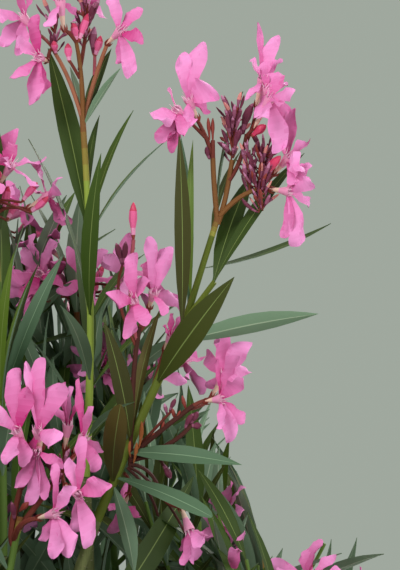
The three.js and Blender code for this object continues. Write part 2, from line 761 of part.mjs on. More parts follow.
// All of a shoot's pieces as one closed solid. Where faces of two pieces fall together, its stalks
// are made a hair thicker and its leaves' roots a hair deeper, until they don't.
function shootSolid(shoot, plan) {
  for (let more = 0; more < MOST_TRIES * TRY_STEP; more += TRY_STEP) {
    const stalks = shoot.stalks.map(({ curve, radiusAt, sides, rings, roll }) =>
      limb(curve, (share) => radiusAt(share) + more / 10, sides, rings, roll),
    );
    const leaves = shoot.leaves.map((leaf) => leafSolid(leaf, ROOT_DEPTH + more));
    const blossom = [...shoot.flowers.map(flowerSolid), ...shoot.buds.map(budSolid)];
    const joined = wasm.Manifold.union([...stalks, ...leaves, ...blossom]);
    const settled = settle(largest(cutClear(joined, plan.on, plan.share ?? 1)));
    if (settled) return settled;
  }
  throw new Error(shoot.name + " has edges that more than two faces share");
}

function meshOf(made, name, material) {
  const { vertProperties, triVerts } = made.getMesh();
  const geometry = new THREE.BufferGeometry();
  geometry.setAttribute("position", new THREE.BufferAttribute(new Float32Array(vertProperties), 3));
  geometry.setIndex(new THREE.BufferAttribute(new Uint32Array(triVerts), 1));
  const mesh = new THREE.Mesh(geometry, material);
  mesh.name = name;
  return mesh;
}

// A turned piece: a profile of radius and height, spun round the pot's axis
function turned(profile, name, material) {
  const shape = new THREE.LatheGeometry(profile.map(([r, z]) => new THREE.Vector2(r, z)), POT_SEGMENTS);
  shape.rotateX(Math.PI / 2);
  const mesh = new THREE.Mesh(shape, material);
  mesh.name = name;
  return mesh;
}

const wallRadius = (height) => mix(POT_FOOT_RADIUS, POT_TOP_RADIUS, height / POT_HEIGHT);
const innerRadius = (height) => wallRadius(height) - POT_WALL;
const rimFoot = POT_HEIGHT - RIM_HEIGHT;

const plant = new THREE.Group();
plant.add(
  turned(
    [
      [0, 0],
      [POT_FOOT_RADIUS - 2, 0],
      [wallRadius(3), 3],
      [wallRadius(rimFoot - 4), rimFoot - 4],
      [wallRadius(rimFoot) + RIM_OUT, rimFoot],
      [POT_TOP_RADIUS + RIM_OUT, POT_HEIGHT - 3],
      [POT_TOP_RADIUS + RIM_OUT - 3, POT_HEIGHT],
      [innerRadius(POT_HEIGHT), POT_HEIGHT],
      [innerRadius(POT_FLOOR), POT_FLOOR],
      [0, POT_FLOOR],
    ],
    "pot",
    CLAY,
  ),
);
plant.add(
  turned(
    [
      [0, POT_FLOOR + CLEARANCE],
      [innerRadius(POT_FLOOR) - CLEARANCE, POT_FLOOR + CLEARANCE],
      [innerRadius(SOIL_TOP) - CLEARANCE, SOIL_TOP],
      [0, SOIL_TOP],
    ],
    "soil",
    EARTH,
  ),
);

for (const { name, on = "", share = 1 } of [...CANES, ...BOUGHS]) {
  const { curve, radiusAt, sides, rings } = limbs.get(name);
  plant.add(meshOf(cutClear(limb(curve, radiusAt, sides, rings), on, share), name, BARK));
}

// Every stem takes its place before a ruled leaf grows, and every shoot before the next one
const shown = SHOWN_SHOOTS.map(growShown);
const shoots = [...shown, ...RULED_SHOOTS.map(startRuled).map(clotheRuled)];
[...SHOWN_SHOOTS, ...RULED_SHOOTS].forEach((plan, i) => {
  plant.add(meshOf(shootSolid(shoots[i], plan), plan.name, GREEN));
});

export default plant;
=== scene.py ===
import math
from functools import partial

import bpy
import numpy as np
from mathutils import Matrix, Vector, noise


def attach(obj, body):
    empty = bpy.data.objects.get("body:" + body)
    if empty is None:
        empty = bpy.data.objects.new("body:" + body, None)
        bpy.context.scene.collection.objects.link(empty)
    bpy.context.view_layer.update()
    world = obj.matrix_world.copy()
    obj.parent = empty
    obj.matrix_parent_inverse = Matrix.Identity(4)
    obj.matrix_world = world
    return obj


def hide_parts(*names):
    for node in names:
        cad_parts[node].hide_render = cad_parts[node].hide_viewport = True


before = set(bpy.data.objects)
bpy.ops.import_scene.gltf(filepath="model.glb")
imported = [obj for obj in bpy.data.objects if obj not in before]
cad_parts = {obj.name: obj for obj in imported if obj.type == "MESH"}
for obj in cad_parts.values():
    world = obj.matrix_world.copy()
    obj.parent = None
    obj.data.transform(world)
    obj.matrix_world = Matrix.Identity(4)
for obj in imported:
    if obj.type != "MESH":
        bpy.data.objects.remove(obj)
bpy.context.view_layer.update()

# Pot. The real one is moulded in a matte plastic the colour of terracotta, with a thick turned rim.
# A disc is drawn up through the profile of the wall, over the rim and down inside to the floor. The
# profile is radii and heights. Sizes are in millimetres all through, and MM makes metres of them.
MM = 0.001
POT_SIDES = 96
POT_EDGE = 1.6
POT_PROFILE = [
    (98, 0), (100.4, 3), (127.1, 212), (129.4, 213), (135.6, 216), (139, 232),
    (139.4, 247), (137, 250), (128, 250), (124.8, 226), (96.8, 6),
]
POT_PAINTS = ("a9573a", "bd6c4a")
POT_DUST_PAINT = "c9a78c"
POT_DUST_TOP = 0.07
POT_DUST_SHARE = 0.45


class Value:
    """A socket that Python's own signs work on: each sign adds a Math node."""

    def __init__(self, tree, socket):
        self.tree = tree
        self.socket = socket

    def math(self, operation, first, second):
        node = self.tree.nodes.new("ShaderNodeMath")
        node.operation = operation
        for socket, value in zip(node.inputs, (first, second)):
            feed(self.tree, socket, value)
        return Value(self.tree, node.outputs[0])

    def __add__(self, other):
        return self.math("ADD", self, other)

    def __sub__(self, other):
        return self.math("SUBTRACT", self, other)

    def __rsub__(self, other):
        return self.math("SUBTRACT", other, self)

    def __mul__(self, other):
        return self.math("MULTIPLY", self, other)

    __radd__ = __add__
    __rmul__ = __mul__


def feed(tree, socket, value):
    """Links a value to a socket, or sets a plain number or colour on it."""
    if isinstance(value, Value):
        tree.links.new(value.socket, socket)
    else:
        socket.default_value = value


def paint(code):
    """A paint code such as b5623f as linear light, by the usual curve for screen colours."""
    light = []
    for start in (0, 2, 4):
        part = int(code[start : start + 2], 16) / 255
        light.append(part / 12.92 if part <= 0.04045 else ((part + 0.055) / 1.055) ** 2.4)
    return light + [1]


class Finish:
    """A material: constants stand on its surface's own sockets, and node() makes every other node."""

    def __init__(self, name, **constants):
        self.material = bpy.data.materials.new(name)
        self.material.use_nodes = True
        self.tree = self.material.node_tree
        self.surface = self.tree.nodes["Principled BSDF"]
        self.vary(**constants)

    def vary(self, **sockets):
        for label, value in sockets.items():
            feed(self.tree, self.surface.inputs[label.replace("_", " ")], value)

    def node(self, kind, output=0, settings=None, inputs=None):
        node = self.tree.nodes.new(kind)
        for name, value in (settings or {}).items():
            setattr(node, name, value)
        for name, value in (inputs or {}).items():
            feed(self.tree, node.inputs[name], value)
        return Value(self.tree, node.outputs[output])

    def place(self):
        return self.node("ShaderNodeTexCoord", "Object")

    def stretched(self, x, y, z):
        """Object coordinates with each axis counted this many times."""
        return self.node("ShaderNodeMapping", inputs={"Vector": self.place(), "Scale": (x, y, z)})

    def noise(self, vector, scale, detail):
        inputs = {"Vector": vector, "Scale": scale, "Detail": detail}
        return self.node("ShaderNodeTexNoise", inputs=inputs)

    def steep(self, value, low, high):
        """0 below low, 1 above high, and a smooth step between them."""
        smooth = {"interpolation_type": "SMOOTHSTEP"}
        inputs = {"Value": value, "From Min": low, "From Max": high}
        return self.node("ShaderNodeMapRange", settings=smooth, inputs=inputs)

    def mix(self, share, first, second):
        """Two colours mixed: a Mix node takes them in at 6 and 7 and gives the mixture at 2."""
        inputs = {0: share, 6: first, 7: second}
        return self.node("ShaderNodeMix", 2, {"data_type": "RGBA"}, inputs)

    def bump(self, height, strength, distance):
        inputs = {"Height": height, "Strength": strength, "Distance": distance}
        return self.node("ShaderNodeBump", inputs=inputs)

    def height(self):
        """How high a point is above the floor, in metres."""
        return self.node("ShaderNodeSeparateXYZ", "Z", inputs={"Vector": self.place()})


def apply_modifier(piece, kind, **settings):
    modifier = piece.modifiers.new(kind.lower(), kind)
    for name, value in settings.items():
        setattr(modifier, name, value)
    bpy.ops.object.modifier_apply(modifier=modifier.name)


def seat(piece, name, finish_slot, *nodes):
    """Names a piece, hangs it on the one body, and hides the nodes it stands for."""
    piece.name = name
    piece.data.name = name
    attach(piece, "root")
    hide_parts(*nodes)


pot_finish = Finish("terracotta_plastic", Roughness=0.62)
pot_cloud = pot_finish.noise(pot_finish.place(), scale=11, detail=5)
pot_grain = pot_finish.noise(pot_finish.place(), scale=900, detail=3)
pot_low = 1 - pot_finish.steep(pot_finish.height(), low=0, high=POT_DUST_TOP)
pot_dust = pot_low * pot_finish.steep(pot_cloud, low=0.35, high=0.7)
pot_body = pot_finish.mix(pot_finish.steep(pot_cloud, low=0.3, high=0.72), *map(paint, POT_PAINTS))
pot_finish.vary(
    Base_Color=pot_finish.mix(pot_dust * POT_DUST_SHARE, pot_body, paint(POT_DUST_PAINT)),
    Roughness=0.55 + pot_cloud * 0.2,
    Normal=pot_finish.bump(pot_grain, strength=0.25, distance=0.0004),
)

bpy.ops.object.select_all(action="DESELECT")
pot_radius, pot_level = POT_PROFILE[0]
bpy.ops.mesh.primitive_circle_add(vertices=POT_SIDES, radius=pot_radius * MM, fill_type="NGON")
pot = bpy.context.object
bpy.ops.object.mode_set(mode="EDIT")
for radius, level in POT_PROFILE[1:]:
    rise = (0, 0, (level - pot_level) * MM)
    bpy.ops.mesh.extrude_region_move(TRANSFORM_OT_translate={"value": rise})
    grown = radius / pot_radius
    bpy.ops.transform.resize(value=(grown, grown, 1), center_override=(0, 0, level * MM))
    pot_radius, pot_level = radius, level
bpy.ops.mesh.select_all(action="SELECT")
bpy.ops.mesh.normals_make_consistent(inside=False)
bpy.ops.object.mode_set(mode="OBJECT")
corners = {"limit_method": "ANGLE", "angle_limit": math.radians(25)}
apply_modifier(pot, "BEVEL", width=POT_EDGE * MM, segments=3, **corners)
bpy.ops.object.shade_smooth_by_angle(angle=math.radians(40))
pot.data.materials.append(pot_finish.material)
seat(pot, "flower_pot", "pot", "pot")

# Potting soil: dark, moist and crumbly, up to the foot of the canes, with chips of bark and a few white
# grains on top. A disc is broken up by lumps of two sizes, made a slab, and fitted to the pot's wall.
SOIL_TOP = 225
SOIL_RADIUS = 124.2
SOIL_DEPTH = 30
SOIL_GAP = 0.4
SOIL_SIDES = 72
SOIL_CUTS = 12
SOIL_LUMPS = [(20, 6), (6, 2.5)]
SOIL_SETTLED = 1
SOIL_PAINTS = ("1d140e", "4a3424")

soil_finish = Finish("potting_soil", Roughness=0.95)
soil_fine = soil_finish.noise(soil_finish.place(), scale=420, detail=6)
soil_coarse = soil_finish.noise(soil_finish.place(), scale=60, detail=4)
soil_light = soil_finish.steep(soil_fine * 0.6 + soil_coarse * 0.4, low=0.36, high=0.66)
soil_finish.vary(
    Base_Color=soil_finish.mix(soil_light, *map(paint, SOIL_PAINTS)),
    Roughness=0.8 + soil_fine * 0.2,
    Normal=soil_finish.bump(soil_fine, strength=0.9, distance=0.002),
)

bpy.ops.object.select_all(action="DESELECT")
soil_place = (0, 0, (SOIL_TOP - SOIL_SETTLED) * MM)
bpy.ops.mesh.primitive_circle_add(
    vertices=SOIL_SIDES, radius=SOIL_RADIUS * MM, fill_type="TRIFAN", location=soil_place
)
soil = bpy.context.object
bpy.ops.object.transform_apply(location=True)
bpy.ops.object.mode_set(mode="EDIT")
bpy.ops.mesh.subdivide(number_cuts=SOIL_CUTS)
bpy.ops.object.mode_set(mode="OBJECT")
for size, lift in SOIL_LUMPS:
    lumps = bpy.data.textures.new(f"lumps_{size}", "CLOUDS")
    lumps.noise_scale = size * MM
    raised = {"strength": lift * MM, "mid_level": 0.5, "direction": "Z"}
    apply_modifier(soil, "DISPLACE", texture=lumps, texture_coords="GLOBAL", **raised)
apply_modifier(soil, "SOLIDIFY", thickness=SOIL_DEPTH * MM, offset=-1)
(top_radius, top_level), (floor_radius, floor_level) = POT_PROFILE[-2:]
wall_slope = (top_radius - floor_radius) / (top_level - floor_level)
for vertex in soil.data.vertices:
    wall = (floor_radius + (vertex.co.z / MM - floor_level) * wall_slope - SOIL_GAP) * MM
    reach = math.hypot(vertex.co.x, vertex.co.y)
    if reach > wall:
        vertex.co.x *= wall / reach
        vertex.co.y *= wall / reach
bpy.ops.object.shade_smooth()
soil.data.materials.append(soil_finish.material)
seat(soil, "soil_slab", "soil", "soil")


class Bunch:
    """Many small shapes, gathered in millimetres and joined into one piece."""

    def __init__(self, finishes):
        self.finishes = finishes
        self.points = []
        self.faces = []
        self.kinds = []
        self.count = 0

    def add(self, points, faces, kinds):
        self.points.append(points)
        self.faces += [[corner + self.count for corner in face] for face in faces]
        self.kinds += kinds
        self.count += len(points)

    def make(self, name, finish_slot, *nodes):
        mesh = bpy.data.meshes.new(name)
        mesh.from_pydata((np.concatenate(self.points) * MM).tolist(), [], self.faces)
        for finish in self.finishes:
            mesh.materials.append(finish.material)
        mesh.polygons.foreach_set("material_index", self.kinds)
        mesh.polygons.foreach_set("use_smooth", [True] * len(self.faces))
        mesh.update()
        mesh.set_sharp_from_angle(angle=math.radians(55))
        piece = bpy.data.objects.new(name, mesh)
        bpy.context.scene.collection.objects.link(piece)
        seat(piece, name, finish_slot, *nodes)


def plain_finishes(rows, **constants):
    """A finish of one colour for each row of a name, a paint code and a roughness."""
    made = []
    for name, code, roughness in rows:
        made.append(Finish(name, Base_Color=paint(code), Roughness=roughness, **constants))
    return made


CHIPS = 620
CHIP_POINTS = np.array([
    [-1, -1, -1], [1, -1, -0.8], [1, 1, -1], [-1, 0.8, -1],
    [-0.8, -1, 1], [1, -0.7, 0.8], [0.7, 1, 1], [-1, 1, 0.7],
])
CHIP_FACES = [[0, 3, 2, 1], [4, 5, 6, 7], [0, 1, 5, 4], [1, 2, 6, 5], [2, 3, 7, 6], [3, 0, 4, 7]]
CHIP_KINDS = [
    ("chip_dark", "33231a", 0.9),
    ("chip_brown", "6a4a33", 0.85),
    ("chip_tan", "8b6a4c", 0.85),
    ("grain_white", "b9b3a4", 0.9),
]
CHIP_ODDS = [0.44, 0.36, 0.16, 0.04]
CHIP_SIZES = ([2, 1, 0.6], [6, 3, 1.4])
GRAIN = 3
GRAIN_SIZES = (1.2, 2.2)
CHIP_TO_WALL = 6
CHIP_LIFT = 0.6
CHIP_TILT = 0.2
chips = Bunch(plain_finishes(CHIP_KINDS))
scatter = np.random.default_rng(4)
for _ in range(CHIPS):
    kind = int(scatter.choice(len(CHIP_KINDS), p=CHIP_ODDS))
    size = [scatter.uniform(*GRAIN_SIZES)] * 3 if kind == GRAIN else scatter.uniform(*CHIP_SIZES)
    reach = (SOIL_RADIUS - CHIP_TO_WALL) * math.sqrt(scatter.random())
    turn, heading = scatter.uniform(0, 2 * math.pi, 2)
    cosine, sine = math.cos(heading), math.sin(heading)
    spin = np.array([[cosine, sine, 0], [-sine, cosine, CHIP_TILT], [0, 0, 1]])
    middle = [reach * math.cos(turn), reach * math.sin(turn), SOIL_TOP + CHIP_LIFT]
    chips.add(CHIP_POINTS * size @ spin + middle, CHIP_FACES, [kind] * len(CHIP_FACES))
chips.make("bark_chips", "soil")

# Canes and boughs: grey-brown wood, greener above, thickest at its flare on the soil, ringed by old leaf
# scars and dotted with pale pores. Each limb is a bent tapering tube whose wall is worked into ridges.
# A cane is its foot on the soil and its tip.
CANES = [
    ("cane_centre", [3, 4], [5, 8, 500]),
    ("cane_front", [-4, -27], [-14, -30, 470]),
    ("cane_front_left", [-32, -15], [-46, -42, 440]),
    ("cane_left", [-34, 15], [-50, 14, 455]),
    ("cane_back_left", [-10, 35], [-42, 66, 440]),
    ("cane_back", [20, 35], [32, 74, 430]),
    ("cane_right", [32, -2], [58, -2, 420]),
]

# A bough's cane, how far up the cane it leaves, and its tip.
BOUGHS = [
    ("bough_middle", "cane_centre", 1, [3, 2, 640]),
    ("bough_inner_back", "cane_centre", 0.8, [2, 84, 570]),
    ("bough_leaning", "cane_front", 1, [11, -16, 614]),
    ("bough_low_front", "cane_front_left", 1, [-42, -66, 570]),
    ("bough_front_left", "cane_front_left", 0.78, [-98, -74, 520]),
    ("bough_upright_left", "cane_left", 1, [-49, 6, 590]),
    ("bough_far_left", "cane_left", 0.8, [-112, 2, 540]),
    ("bough_rear_left", "cane_back_left", 1, [-64, 104, 570]),
    ("bough_outer_left", "cane_back_left", 0.78, [-112, 84, 520]),
    ("bough_rear", "cane_back", 1, [22, 122, 540]),
    ("bough_rear_right", "cane_back", 0.76, [92, 100, 480]),
    ("bough_right", "cane_right", 1, [104, -12, 486]),
    ("bough_inner_right", "cane_right", 0.82, [70, 48, 520]),
]

CLEARANCE = 0.3
CANE_FOOT_RADIUS = 7.5
CANE_TIP_RADIUS = 5.2
FLARE = 5.5
FLARE_HEIGHT = 14
BOUGH_ROOT_RADIUS = 4.4
BOUGH_TURN = 0.6
STEM_ROOT_RADIUS = 3.2
SCAR_STEP = 27
SCAR_HALF = 1.6
SCAR_SWELL = 1.1
RINGS_BY_SCAR = 4
LIMB_SIDES = 14
LIMB_STEPS = 24
RIDGE = 0.5
RIDGE_GRAIN = Vector((0.35, 0.35, 0.08))
NEARLY_LEVEL = 0.9
BOW_REACH = 0.45

UP = Vector((0, 0, 1))
TO_VIEWER = Vector((0, -1, 0))


def blend(low, high, share):
    return low + (high - low) * share


def between(start, towards, angle):
    """The direction at an angle from one direction towards another that is square to it."""
    return start * math.cos(angle) + towards * math.sin(angle)


def across(direction, tangent):
    """Two directions across a limb, the same all along it."""
    guide = TO_VIEWER if abs(direction.y) < NEARLY_LEVEL * direction.length else UP
    side = tangent.cross(guide).normalized()
    return side, side.cross(tangent).normalized()


class Bow:
    """A line between two points that sets out along a direction."""

    def __init__(self, root, tip, direction):
        self.root = root
        self.tip = tip
        self.bend = root + direction * (BOW_REACH * (tip - root).length)

    def point(self, share):
        return self.root * (1 - share) ** 2 + self.bend * (2 * share * (1 - share)) + self.tip * share**2

    def tangent(self, share):
        return blend(self.bend - self.root, self.tip - self.bend, share).normalized()

    def length(self):
        return (self.tip - self.root).length


def ring_faces(rings, sides):
    """Quads between rings of points, and a face over each end."""
    faces = []
    for row in range(rings - 1):
        for k in range(sides):
            corner = row * sides + k
            after = row * sides + (k + 1) % sides
            faces.append([corner, corner + sides, after + sides, after])
    faces.append(list(range(sides)))
    faces.append([(rings - 1) * sides + k for k in reversed(range(sides))])
    return faces


def tube(bunch, line, rings, sides, kinds, ridge=0.0):
    """A closed tube along a line, from rings of a share and a radius, with a finish for each row."""
    chord = line.tip - line.root
    points = []
    for share, radius in rings:
        side, other = across(chord, line.tangent(share))
        middle = line.point(share)
        for k in range(sides):
            outward = between(side, other, 2 * math.pi * k / sides)
            grown = radius
            if ridge:
                grown += ridge * noise.noise((middle + outward * radius) * RIDGE_GRAIN)
            points.append(middle + outward * grown)
    rows = [kind for kind in kinds for _ in range(sides)] + [kinds[0], kinds[-1]]
    bunch.add(np.array(points), ring_faces(len(rings), sides), rows)


limbs = {}
limb_places = []


def add_limb(name, line, radius_at):
    limbs[name] = (line, radius_at)
    for step in range(LIMB_STEPS + 1):
        share = step / LIMB_STEPS
        limb_places.append([*line.point(share), radius_at(share)])


def leave(on, share):
    """Where something leaves a limb, and the limb's direction there."""
    line = limbs[on][0]
    tangent = line.tangent(share)
    root = line.point(share)
    return (root + tangent * CLEARANCE if share == 1 else root), tangent


def cane_radius(height, share):
    flare = FLARE * math.exp(-share * height / FLARE_HEIGHT)
    return blend(CANE_FOOT_RADIUS, CANE_TIP_RADIUS, share) + flare


for name, foot, tip in CANES:
    line = Bow(Vector((*foot, SOIL_TOP + CLEARANCE)), Vector(tip), UP)
    add_limb(name, line, partial(cane_radius, line.length()))
for name, on, place, tip in BOUGHS:
    root, tangent = leave(on, place)
    outward = (Vector(tip) - root).normalized()
    set_out = blend(tangent, outward, 0 if place == 1 else BOUGH_TURN).normalized()
    root_radius = CANE_TIP_RADIUS if place == 1 else BOUGH_ROOT_RADIUS
    add_limb(name, Bow(root, Vector(tip), set_out), partial(blend, root_radius, STEM_ROOT_RADIUS))

OLD_BARK_PAINTS = ("54483a", "8f836f")
YOUNG_BARK_PAINTS = ("5b6134", "7d8350")
PORE_PAINT = "b0a68c"
PORE_SHARE = 0.55
bark = Finish("oleander_bark", Roughness=0.85)
bark_streak = bark.noise(bark.stretched(1, 1, 0.16), scale=260, detail=6)
bark_cloud = bark.noise(bark.place(), scale=28, detail=4)
pore_inputs = {"Vector": bark.stretched(1, 1, 2.2), "Scale": 210}
bark_pores = bark.node("ShaderNodeTexVoronoi", "Distance", inputs=pore_inputs)
bark_spots = 1 - bark.steep(bark_pores, low=0.12, high=0.26)
bark_grey = bark.mix(bark.steep(bark_streak, low=0.32, high=0.68), *map(paint, OLD_BARK_PAINTS))
bark_green = bark.mix(bark.steep(bark_streak, low=0.3, high=0.7), *map(paint, YOUNG_BARK_PAINTS))
bark_young = bark.steep(bark.height() + bark_cloud * 0.12, low=0.46, high=0.66)
bark_wood = bark.mix(bark_young, bark_grey, bark_green)
bark.vary(
    Base_Color=bark.mix(bark_spots * PORE_SHARE, bark_wood, paint(PORE_PAINT)),
    Roughness=0.72 + bark_streak * 0.25,
    Normal=bark.bump(bark_streak + bark_spots * 0.5, strength=0.6, distance=0.0012),
)


def limb_piece(name, nodes):
    """The limbs of one kind as one piece, each ringed by scars at even steps."""
    bunch = Bunch([bark])
    for node in nodes:
        line, radius_at = limbs[node]
        steps = max(2, round(line.length() / SCAR_STEP))
        scars = [(k + 0.5) / steps for k in range(steps)]
        near = SCAR_HALF / line.length()
        even = RINGS_BY_SCAR * steps
        shares = {0, 1} | {k / even for k in range(even)}
        for scar in scars:
            shares |= {scar - near, scar, scar + near}
        rings = []
        for share in sorted(shares):
            rings.append((share, radius_at(share) * (SCAR_SWELL if share in scars else 1)))
        tube(bunch, line, rings, LIMB_SIDES, [0] * (len(rings) - 1), RIDGE)
    bunch.make(name, "bark", *nodes)


limb_piece("woody_canes", [row[0] for row in CANES])
limb_piece("woody_boughs", [row[0] for row in BOUGHS])
